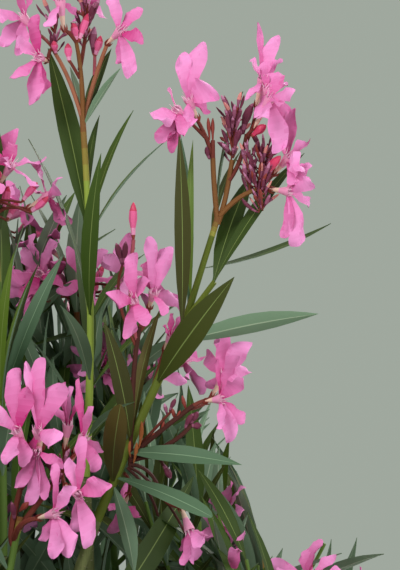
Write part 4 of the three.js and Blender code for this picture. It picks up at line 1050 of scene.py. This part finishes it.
def places_on_flower(flower):
    side, other = petal_directions(flower)
    places = [(flower["centre"], FLOWER_HEART)]
    for k in range(PETALS):
        outward = between(other, side, 360 / PETALS * k * DEGREE)
        for share, room in TAKEN_ON_PETAL:
            at = flower["centre"] + outward * (FLOWER_RADIUS * flower["size"] * share)
            places.append((at, room))
    return places


LEAF_LENGTH = 122
LEAF_WIDTH = 17
LENGTH_SPAN = (0.86, 1.12)
WIDTH_SPAN = (0.86, 1.1)
YOUNG_SIZE = 0.72
YOUNG_SPREAD = 22
OLD_SPREAD = 62
UNEVEN_SPREAD = 9
WHORL = 3
WHORL_TURN = 12
LEAF_LIFT = 0.12
AT_STEM = 3


def add_whorl(shoot, line, share, age, turn, dice, tint, grown=1.0):
    """Three leaves round a stem, the older the longer, wider and further spread."""
    root = line.point(share)
    axis = line.tangent(share)
    side, other = across(UP, axis)
    for k in range(WHORL):
        angle = (turn + 360 / WHORL * k + dice.between(-WHORL_TURN, WHORL_TURN)) * DEGREE
        spread = blend(YOUNG_SPREAD, OLD_SPREAD, age) + dice.between(-UNEVEN_SPREAD, UNEVEN_SPREAD)
        length = grown * LEAF_LENGTH * blend(YOUNG_SIZE, 1, age) * dice.between(*LENGTH_SPAN)
        width = grown * LEAF_WIDTH * blend(YOUNG_SIZE, 1, age) * dice.between(*WIDTH_SPAN)
        direction = between(axis, between(side, other, angle), spread * DEGREE)
        lifted = blend(direction, UP, LEAF_LIFT).normalized()
        normal = (axis - lifted * axis.dot(lifted)).normalized()
        tip = root + lifted * length
        leaf = {"root": root, "tip": tip, "width": width, "normal": normal, "tint": tint}
        places = places_on_leaf(leaf)
        if is_in_crown(places) and is_clear_of_limbs(places[AT_STEM:]):
            shoot.leaves.append(leaf)


HEAD_FORK = 0.93
HEAD_RISE = 0.4
HEAD_ANGLE = 120
HEAD_SHIFT = 60
HEAD_TURN = 20
HEAD_SPREAD = 48
TOP_BUD_SPREAD = 8
HEAD_REACHES = (44, 58)
HEAD_STEP = 14
AS_IN_SOLIDS = 3
MORE_FLOWERS = 4
MORE_SPREADS = (14, 64)
FLOWER_SIZES = (0.9, 1.05)
FACING_OUT = 0.45
FACING_UP = 0.1
BUD_REACH = 0.8
BUD_ROOM = 5
# How far aside of a bud and how far below it the second one is.
SECOND_BUD = (7, 9)


def add_head(shoot, line, number, dice, own_dice):
    """A head of blossom: two flowers and a bud as in the solids, and more of both among them."""
    fork = line.point(HEAD_FORK)
    axis = blend(line.tangent(1), UP, HEAD_RISE).normalized()
    side, other = across(UP, axis)
    aside, below = SECOND_BUD
    flowers, buds = [], []
    for k in range(AS_IN_SOLIDS + MORE_FLOWERS):
        source = dice if k < AS_IN_SOLIDS else own_dice
        turn = HEAD_ANGLE * k + HEAD_SHIFT * (number + k // 3) + source.between(-HEAD_TURN, HEAD_TURN)
        spread = TOP_BUD_SPREAD if k == 2 and number else HEAD_SPREAD
        if k >= AS_IN_SOLIDS:
            spread = own_dice.between(*MORE_SPREADS)
        reach = source.between(*HEAD_REACHES) + HEAD_STEP * number
        spin = source.between(0, 360 / PETALS)
        size = source.between(*FLOWER_SIZES)
        outward = between(side, other, turn * DEGREE)
        ray = between(axis, outward, spread * DEGREE)
        facing = (blend(ray, outward, FACING_OUT) + UP * FACING_UP).normalized()
        flower = {"centre": fork + ray * reach, "facing": facing, "spin": spin, "size": size}
        places = places_on_flower(flower)
        if k % 3 == 2:
            tip = fork + ray * (reach * BUD_REACH)
            if is_in_crown([(tip, BUD_ROOM)]):
                buds += [tip, tip + outward * aside - axis * below]
        elif is_in_crown(places) and is_clear_of_limbs(places):
            flowers.append(with_petals(flower, own_dice))
    shoot.add_head(fork, axis, flowers, buds)


STEM_TIP_RADIUS = 2
FIRST_WHORL = 14
FIRST_WHORL_ASIDE = 34
LAST_WHORL = 0.965
WHORL_STEP = 34
WHORL_SHIFT = 60
WHORL_SWERVE = 30
STEM_TINTS = 3
TWIG_SEEDS = 1000
HEAD_SEEDS = 2000


def grow_ruled(name, on, place, tip, heads, seed):
    """A stem with threes of leaves, then finer side twigs, then its heads of blossom."""
    shoot = Shoot(name)
    dice = Dice(seed)
    root, tangent = leave(on, place)
    tip = Vector(tip)
    chord = tip - root
    set_out = blend(tangent, chord.normalized(), 0 if place == 1 else STEM_TURN).normalized()
    stem = Bow(root, tip, set_out)
    shoot.stems.append((stem, STEM_ROOT_RADIUS, STEM_TIP_RADIUS, heads > 0))
    first = FIRST_WHORL if place == 1 else FIRST_WHORL_ASIDE
    whorls = max(2, round((chord.length - first) / WHORL_STEP))
    tint = seed % STEM_TINTS
    for k in range(whorls + 1):
        share = blend(first / chord.length, LAST_WHORL, k / whorls)
        turn = WHORL_SHIFT * k + dice.between(0, WHORL_SWERVE)
        add_whorl(shoot, stem, share, 1 - k / whorls, turn, dice, tint)
    for k in range(heads):
        add_head(shoot, stem, k, dice, Dice(seed + HEAD_SEEDS + k))
    add_side_twigs(shoot, stem, Dice(seed + TWIG_SEEDS), tint)
    return shoot


SIDE_TWIGS = 5
SIDE_SHARES = (0.22, 0.72)
SIDE_TURN = 137
SIDE_SWERVE = 30
SIDE_ANGLE = 46
SIDE_RISE = 0.15
SIDE_SET_OUT = 0.3
SIDE_REACHES = (52, 84)
SIDE_LIFT = 8
SIDE_ROOM = 5
SIDE_RADII = (1.9, 1.2)
SIDE_STEP = 24
SIDE_WHORLS = (0.25, 0.97)
SIDE_AGE = 0.75
SIDE_GROWN = 0.82
TINTS = 4


def add_side_twigs(shoot, stem, dice, tint):
    """Finer twigs, turned on round the stem from one to the next, with smaller leaves in threes."""
    for k in range(SIDE_TWIGS):
        share = blend(*SIDE_SHARES, k / (SIDE_TWIGS - 1))
        axis = stem.tangent(share)
        side, other = across(UP, axis)
        turn = SIDE_TURN * k + dice.between(-SIDE_SWERVE, SIDE_SWERVE)
        outward = between(side, other, turn * DEGREE)
        direction = blend(between(axis, outward, SIDE_ANGLE * DEGREE), UP, SIDE_RISE).normalized()
        reach = dice.between(*SIDE_REACHES)
        root = stem.point(share)
        tip = root + direction * reach + UP * SIDE_LIFT
        if not is_in_crown([(tip, SIDE_ROOM)]):
            continue
        line = Bow(root, tip, blend(direction, outward, SIDE_SET_OUT).normalized())
        shoot.stems.append((line, *SIDE_RADII, False))
        whorls = max(2, round(reach / SIDE_STEP))
        for n in range(whorls + 1):
            along = blend(*SIDE_WHORLS, n / whorls)
            age = SIDE_AGE * (1 - n / whorls)
            add_whorl(shoot, line, along, age, WHORL_SHIFT * n, dice, (tint + k) % TINTS, SIDE_GROWN)


shown = [grow_shown(plan) for plan in SHOWN_SHOOTS]
ruled = [grow_ruled(*plan) for plan in RULED_SHOOTS]

# Stems and twigs are smooth and green, thicker at the foot, and turn brown at the top under blossom, whose
# stalks are brick red, rose or brown. The twigs of a group of shoots are one piece, which stands for the
# solids of those shoots, as their leaves and their blossom do.
STEM_PAINTS = [
    ("stem_yellow_green", "8b9f3f", 0.6),
    ("stem_olive", "5c681c", 0.6),
    ("stem_green", "5f7a34", 0.6),
    ("stalk_brick", "74332a", 0.6),
    ("stalk_rose", "a8505c", 0.6),
    ("stalk_brown", "7c5029", 0.6),
    ("stalk_salmon", "a06248", 0.6),
    ("stalk_dark", "4b221c", 0.6),
    ("stem_yellow_brown", "94903e", 0.6),
    ("stem_tan", "8d7c36", 0.6),
    ("stem_umber", "84652f", 0.6),
]
stem_finishes = plain_finishes(STEM_PAINTS, Specular_IOR_Level=0.25)
BROWN_TOP = [8, 9, 10, 5]
STEM_SIDES = 10
STALK_SIDES = 6
# Rings along a stem, closer together at its top, and along a stalk.
STEM_SHARES = [k / 12 for k in range(10)] + [k / 24 for k in range(20, 25)]
EVEN_STALK = [k / 6 for k in range(7)]


def green_stems(bunch, shoot, tint):
    for line, root_radius, tip_radius, brown_top in shoot.stems:
        rings = [(share, blend(tip_radius, root_radius, (1 - share) ** 3)) for share in STEM_SHARES]
        rows = [tint] * (len(rings) - 1)
        if brown_top:
            rows[-len(BROWN_TOP) :] = BROWN_TOP
        tube(bunch, line, rings, STEM_SIDES, rows)
    for line, root_radius, tip_radius, kind in shoot.stalks:
        rings = [(share, blend(root_radius, tip_radius, share)) for share in EVEN_STALK]
        tube(bunch, line, rings, STALK_SIDES, [kind] * (len(rings) - 1))


# Leaves: stiff and leathery, long and narrow, a little folded along a raised pale midrib, dark above and
# paler below. Each is one closed blade of a few faces, and its tint goes by its spray. An outline is
# shares of the length and of half the width. A column is a share of that, on top, at the edge or below.
LEAF_OUTLINE = [
    (0.0, 0.14), (0.05, 0.17), (0.13, 0.42), (0.25, 0.76), (0.4, 0.97),
    (0.54, 1.0), (0.68, 0.87), (0.81, 0.6), (0.92, 0.29), (1.0, 0.02),
]
BLUNT_OUTLINE = [
    (0.0, 0.14), (0.05, 0.17), (0.14, 0.34), (0.28, 0.62), (0.46, 0.88),
    (0.64, 1.0), (0.8, 0.97), (0.91, 0.78), (0.97, 0.5), (1.0, 0.16),
]
LEAF_COLUMNS = [(-1, 0), (-0.04, 1), (0.04, 1), (1, 0), (0.06, -1), (-0.06, -1)]
BLADE_HALF = 0.28
RIB_DROP = 0.5
FOLD = 0.2
FLAT_SHARE = 0.3
LEAF_PAINTS = [
    ("leaf_dark", "354815", 0.55),
    ("leaf_green", "3d531a", 0.55),
    ("leaf_olive", "414819", 0.55),
    ("leaf_fresh", "587022", 0.55),
    # The grey-green tint is leaf green with painted sheen: greyed and lightened to stand for the sky's
    # reflection on an upper face seen at a grazing angle.
    ("leaf_grey_green_painted_sheen", "526d52", 0.55),
    ("leaf_brown_olive", "3d3d14", 0.55),
    ("leaf_tan_olive", "584f22", 0.55),
    ("leaf_underside", "758f74", 0.55),
    ("leaf_midrib", "7a8a4b", 0.55),
    ("leaf_pale_midrib", "7d9878", 0.55),
    ("leaf_under_midrib", "a6b99c", 0.55),
]
leaf_finishes = plain_finishes(LEAF_PAINTS, Specular_IOR_Level=0.25)
PAINTED_SHEEN_GREEN, UNDERSIDE, MIDRIB, PALE_MIDRIB, UNDER_MIDRIB = 4, 7, 8, 9, 10


def leaf_faces(stations):
    """The faces of a blade, and the part of the leaf that each belongs to: tint, midrib or underside."""
    ring = len(LEAF_COLUMNS)
    parts = ["tint", "rib", "tint", "under", "under_rib", "under"]
    faces, kinds = [], []
    for station in range(stations - 1):
        for k in range(ring):
            corner = station * ring + k
            after = station * ring + (k + 1) % ring
            faces.append([corner, corner + ring, after + ring, after])
            kinds.append(parts[k])
    last = (stations - 1) * ring
    for first, part in ((0, "under"), (last, "tint")):
        quads = [[first, first + 1, first + 2, first + 3], [first + 3, first + 4, first + 5, first]]
        faces += [quad[::-1] if first else quad for quad in quads]
        kinds += [part, part]
    return faces, kinds


LEAF_FACES, LEAF_PARTS = leaf_faces(len(LEAF_OUTLINE))


def add_leaf(bunch, leaf, twist, curl):
    """A leaf between its root and tip, arched or sagging, twisted on its length and curled aside."""
    along = leaf["tip"] - leaf["root"]
    length = along.length
    direction = along.normalized()
    side = leaf["normal"].cross(direction).normalized()
    sag = -LEAF_SAG if leaf.get("sagging") else LEAF_SAG
    points = []
    for share, half in BLUNT_OUTLINE if leaf.get("blunt") else LEAF_OUTLINE:
        half_width = half * leaf["width"] / 2
        arch = sag * length * 4 * share * (1 - share)
        turn = twist * (share - FLAT_SHARE)
        for column, layer in LEAF_COLUMNS:
            y = column * half_width
            z = abs(y) * FOLD + layer * BLADE_HALF
            if layer < 0:
                z -= RIB_DROP * half
            lift = y * math.sin(turn) + z * math.cos(turn) + arch
            shift = y * math.cos(turn) - z * math.sin(turn) + curl * length * share * share
            points.append(leaf["root"] + along * share + side * shift + leaf["normal"] * lift)
    # Leaves of the grey-green tint with painted sheen take the paler midrib.
    rib = PALE_MIDRIB if leaf["tint"] == PAINTED_SHEEN_GREEN else MIDRIB
    kinds = {"tint": leaf["tint"], "rib": rib, "under": UNDERSIDE, "under_rib": UNDER_MIDRIB}
    bunch.add(np.array(points), LEAF_FACES, [kinds[part] for part in LEAF_PARTS])


# Blossom: five long petals, narrow at the throat and blunt at the tip, round a pale fringe, on a tube
# that is cream at its foot and pink above, in a small red calyx. Each petal is a thin closed blade that
# bends, waves and is ruffled at its edges, in tones from rose at its base to pale pink at its tip.
PETAL_OUTLINE = [
    (0.0, 0.26), (0.15, 0.46), (0.3, 0.68), (0.45, 0.85), (0.6, 0.96),
    (0.73, 1.0), (0.85, 1.0), (0.94, 0.9), (1.0, 0.68),
]
PETAL_COLUMNS = [(-1, 0), (-0.45, 1), (0, 1), (0.45, 1), (1, 0), (0.45, -1), (0, -1), (-0.45, -1)]
# The shade of each row of a petal, from its root to its tip.
PETAL_TONES = [9, 7, 6, 5, 4, 3, 2, 2]
DEEPER_BELOW = 2
DEEPER_BY_TONE = 4
PETAL_HALF = 0.25
PETAL_ROOT = 0.8
PETAL_START = 0.35
PETAL_WAVES = (0.06, 0.2)
PETAL_CUPS = (-0.18, 0.24)
PETAL_SLANTS = (0.5, 1.3)
SLANT_SHARE = 0.7
PETAL_ROUND = 0.04
PETAL_RUFFLE = 0.26
PETAL_UNEVEN = 0.17
PETAL_GROWN = 1.02
# How often each wave turns with the petal's phase, along the petal and across it.
UNEVEN_TURNS = (3, 8, 2)
WAVE_TURNS = (1, 3, 2.6)
RUFFLE_TURNS = (5, 11, 1.4)
THROAT_RADIUS = 2.6
THROAT_DEPTH = 2
PETAL_SHADES = 17
petal_pale, petal_deep = np.array(paint("faa3df")), np.array(paint("c42c7a"))
flower_finishes = []
for shade in range(PETAL_SHADES):
    shade_colour = blend(petal_pale, petal_deep, shade / (PETAL_SHADES - 1)).tolist()
    petal_finish = Finish(f"petal_{shade}", Base_Color=shade_colour, Roughness=0.6, Specular_IOR_Level=0.15)
    flower_finishes.append(petal_finish)
FLOWER_PAINTS = [
    ("throat_fringe", "f3bfda", 0.6),
    ("tube_pink", "ee95bf", 0.55),
    ("tube_cream", "ecc3b2", 0.55),
    ("calyx_red", "8a3228", 0.6),
    ("bud_rose", "e65f96", 0.5),
    ("bud_carmine", "cf3560", 0.5),
    ("bloom_maroon", "6b2440", 0.75),
    ("bloom_purple", "96506f", 0.75),
    ("bloom_salmon", "d98a84", 0.7),
    ("husk_orange", "9c5526", 0.8),
    ("bloom_lilac", "bd7a9e", 0.7),
]
flower_finishes += plain_finishes(FLOWER_PAINTS)
FRINGE, TUBE_PINK, TUBE_CREAM, CALYX, BUD_ROSE, BUD_CARMINE, MAROON, PURPLE, SALMON, HUSK, LILAC = (
    PETAL_SHADES + k for k in range(len(FLOWER_PAINTS))
)


def ripple(turns, phase, share, column):
    """The height of a wave over a petal, from -1 to 1."""
    by_phase, along, sideways = turns
    return math.sin(by_phase * phase + along * share + sideways * column)


def add_petal(bunch, flower, petal, rng):
    facing = (flower["centre"] - flower["calyx"]).normalized()
    outward = (petal["tip"] - flower["centre"]).normalized()
    root = flower["centre"] - facing * THROAT_DEPTH + outward * (THROAT_RADIUS * PETAL_ROOT)
    line = Bow(root, petal["tip"], (outward + facing * PETAL_START).normalized())
    wave, phase = rng.uniform(*PETAL_WAVES), rng.uniform(0, 2 * math.pi)
    cup = rng.uniform(*PETAL_CUPS)
    slant = -rng.uniform(*PETAL_SLANTS) * SLANT_SHARE
    points = []
    for share, half in PETAL_OUTLINE:
        tangent = line.tangent(share)
        side = petal["normal"].cross(tangent).normalized()
        normal = tangent.cross(side)
        for column, layer in PETAL_COLUMNS:
            uneven = 1 + PETAL_UNEVEN * ripple(UNEVEN_TURNS, phase, share, column) * share
            half_width = PETAL_GROWN * half * uneven * petal["width"] / 2
            bend = wave * ripple(WAVE_TURNS, phase, share, column) + cup * column**2
            ruffle = PETAL_RUFFLE * ripple(RUFFLE_TURNS, phase, share, column) * abs(column)
            lift = layer * PETAL_HALF + petal["width"] * share * (bend + ruffle)
            slide = half_width * slant * column * share**2
            slide -= PETAL_ROUND * line.length() * column**2 * share**3
            point = line.point(share) + side * (column * half_width)
            points.append(point + normal * lift + tangent * slide)
    sides = len(PETAL_COLUMNS)
    kinds = []
    for tone in PETAL_TONES:
        for k in range(sides):
            # A petal's tone deepens all its shades. In the flowers that are set out, a deeper tone is partly
            # painted shade on petals that lie in shadow.
            deeper = DEEPER_BY_TONE * petal["tone"] + (DEEPER_BELOW if k >= sides // 2 else 0)
            kinds.append(min(tone + deeper, PETAL_SHADES - 1))
    faces = ring_faces(len(PETAL_OUTLINE), sides)
    bunch.add(np.array(points), faces, kinds + [kinds[0], kinds[-1]])


FUNNEL = [
    (0, 0.9), (0.25, 1.3), (0.5, 1.8), (0.75, 2.7),
    (0.92, 3.3), (0.98, 3.4), (0.93, 2.8), (0.6, 1.0),
]
FUNNEL_KINDS = [TUBE_CREAM, TUBE_CREAM, TUBE_PINK, TUBE_PINK, TUBE_PINK, FRINGE, FRINGE]
FUNNEL_SIDES = 8
THREADS = 12
THREAD_SIDES = 3
THREAD_RINGS = [(0, 0.55), (0.5, 0.42), (1, 0.08)]
THREAD_TURN = 0.2
THREAD_LENGTHS = (3.5, 6.5)
THREAD_LEANS = (-2.2, 2.4)
SEPALS = 5
SEPAL_RINGS = [(0, 0.7), (0.5, 0.8), (1, 0.1)]
# How far out and down a sepal's root is, and how far out and up its tip is from there.
SEPAL_ROOT = (0.6, 1.4)
SEPAL_TIP = (1.6, 5)


def add_flower(bunch, flower, rng):
    """A flower: its funnel, the fringe of threads in its throat, its sepals and its petals."""
    centre, calyx = flower["centre"], flower["calyx"]
    facing = (centre - calyx).normalized()
    side, other = across(facing, facing)
    tube(bunch, Bow(calyx, centre, facing), FUNNEL, FUNNEL_SIDES, FUNNEL_KINDS)
    for k in range(THREADS):
        turn = 2 * math.pi * k / THREADS + rng.uniform(-THREAD_TURN, THREAD_TURN)
        outward = between(side, other, turn)
        root = centre - facing * THROAT_DEPTH + outward * THROAT_RADIUS
        tip = root + facing * rng.uniform(*THREAD_LENGTHS) + outward * rng.uniform(*THREAD_LEANS)
        tube(bunch, Bow(root, tip, facing), THREAD_RINGS, THREAD_SIDES, [FRINGE] * 2)
    for k in range(SEPALS):
        outward = between(side, other, 2 * math.pi * k / SEPALS)
        (out, down), (further, up) = SEPAL_ROOT, SEPAL_TIP
        root = calyx + outward * out - facing * down
        tip = root + facing * up + outward * further
        line = Bow(root, tip, (facing + outward).normalized())
        tube(bunch, line, SEPAL_RINGS, THREAD_SIDES, [CALYX] * 2)
    for petal in flower["petals"]:
        add_petal(bunch, flower, petal, rng)


BUD_RINGS = [(0, 0.25), (0.14, 0.5), (0.34, 0.62), (0.58, 1.0), (0.78, 0.9), (0.93, 0.5), (1, 0.12)]
BUD_KINDS = {
    "bud": [CALYX, TUBE_PINK, BUD_ROSE, BUD_ROSE, BUD_CARMINE, BUD_CARMINE],
    "old": [MAROON, PURPLE, MAROON, MAROON, MAROON, PURPLE],
    "faded": [CALYX, MAROON, PURPLE, PURPLE, LILAC, LILAC],
    "salmon": [CALYX, PURPLE, PURPLE, SALMON, SALMON, SALMON],
    "calyx": [CALYX] * 6,
    "husk": [HUSK] * 6,
    "red": [CALYX] + [BUD_CARMINE] * 5,
}
BUD_SIDES = 6
BUD_SWERVE = 0.35
FRESH_SWERVE = 0.4


def add_bud(bunch, bud, rng):
    along = bud["tip"] - bud["foot"]
    fresh = bud["kind"] in ("bud", "calyx")
    swerve = Vector(rng.uniform(-BUD_SWERVE, BUD_SWERVE, 3)) * (FRESH_SWERVE if fresh else 1)
    rings = [(share, radius * bud["width"] / 2) for share, radius in BUD_RINGS]
    line = Bow(bud["foot"], bud["tip"], (along.normalized() + swerve).normalized())
    tube(bunch, line, rings, BUD_SIDES, BUD_KINDS[bud["kind"]])


SHOWN_TWIST_CURL = (0.15, 0.008)
RULED_TWIST_CURL = (0.5, 0.04)


def clothe(group, shoots, stem_tints):
    """Makes the twigs, leaves and blossom of some shoots, each kind as one piece."""
    names = [shoot.name for shoot in shoots]
    rng = np.random.default_rng(len(names) * 7 + len(group))
    twist, curl = SHOWN_TWIST_CURL if group == "front" else RULED_TWIST_CURL
    twigs, leaves, blossom = Bunch(stem_finishes), Bunch(leaf_finishes), Bunch(flower_finishes)
    for shoot, tint in zip(shoots, stem_tints):
        green_stems(twigs, shoot, tint)
        for leaf in shoot.leaves:
            add_leaf(leaves, leaf, rng.uniform(-twist, twist), rng.uniform(-curl, curl))
        for flower in shoot.flowers:
            add_flower(blossom, flower, rng)
        for bud in shoot.buds:
            add_bud(blossom, bud, rng)
    twigs.make(group + "_twigs", "foliage", *names)
    leaves.make(group + "_leaves", "foliage", *names)
    blossom.make(group + "_blossom", "foliage", *names)


# Of the shoots that grow by rule the upper ones come first, then the lower ones, then those at the sides.
UPPER_SHOOTS = 9
LOWER_SHOOTS = 7
YELLOW_GREEN, OLIVE, GREEN = range(3)
clothe("front", shown, [YELLOW_GREEN, OLIVE, GREEN, GREEN])
groups = {
    "upper": ruled[:UPPER_SHOOTS],
    "lower": ruled[UPPER_SHOOTS : UPPER_SHOOTS + LOWER_SHOOTS],
    "side": ruled[UPPER_SHOOTS + LOWER_SHOOTS :],
}
for group, shoots in groups.items():
    clothe(group, shoots, [GREEN] * len(shoots))

# Studio: a plain pale floor, soft light from three sides and above, and a camera level with the shoots
# that looks at them from the front, as the photograph does.
FLOOR = 3.0
FLOOR_COLOUR = (0.72, 0.72, 0.7, 1)
AIR_COLOUR = (0.5, 0.56, 0.49, 1)
AIR_STRENGTH = 0.7
floor_finish = Finish("floor_paper", Base_Color=FLOOR_COLOUR, Roughness=0.9)
bpy.ops.object.select_all(action="DESELECT")
bpy.ops.mesh.primitive_plane_add(size=2 * FLOOR, location=(0, 0, 0))
floor = bpy.context.object
floor.name = "studio_floor"
floor.data.materials.append(floor_finish.material)

world = bpy.data.worlds.new("studio_air")
world.use_nodes = True
air = world.node_tree.nodes["Background"]
air.inputs["Color"].default_value = AIR_COLOUR
air.inputs["Strength"].default_value = AIR_STRENGTH
bpy.context.scene.world = world
bpy.context.scene.view_settings.view_transform = "Standard"

# A lamp is its name, its place, its width and its power.
LAMPS = [
    ("key_lamp", (-1.3, -1.7, 2.2), 1.2, 44),
    ("fill_lamp", (1.7, -1.2, 1.4), 1.4, 22),
    ("back_lamp", (0.9, 1.7, 2.0), 1.2, 30),
]
AIM = Vector((0, 0, 0.6))
for name, place, size, power in LAMPS:
    lamp = bpy.data.lights.new(name, "AREA")
    lamp.size = size
    lamp.energy = power
    holder = bpy.data.objects.new(name, lamp)
    holder.location = place
    holder.rotation_euler = (AIM - Vector(place)).to_track_quat("-Z", "Y").to_euler()
    bpy.context.scene.collection.objects.link(holder)

CAMERA_PLACE = (0.075, -1.4, 0.76)
LENS = 141.5
NEAREST = 0.05
camera = bpy.data.cameras.new("camera")
camera.lens = LENS
camera.clip_start = NEAREST
viewer = bpy.data.objects.new("camera", camera)
viewer.location = CAMERA_PLACE
viewer.rotation_euler = (math.radians(90), 0, 0)
bpy.context.scene.collection.objects.link(viewer)
bpy.context.scene.camera = viewer
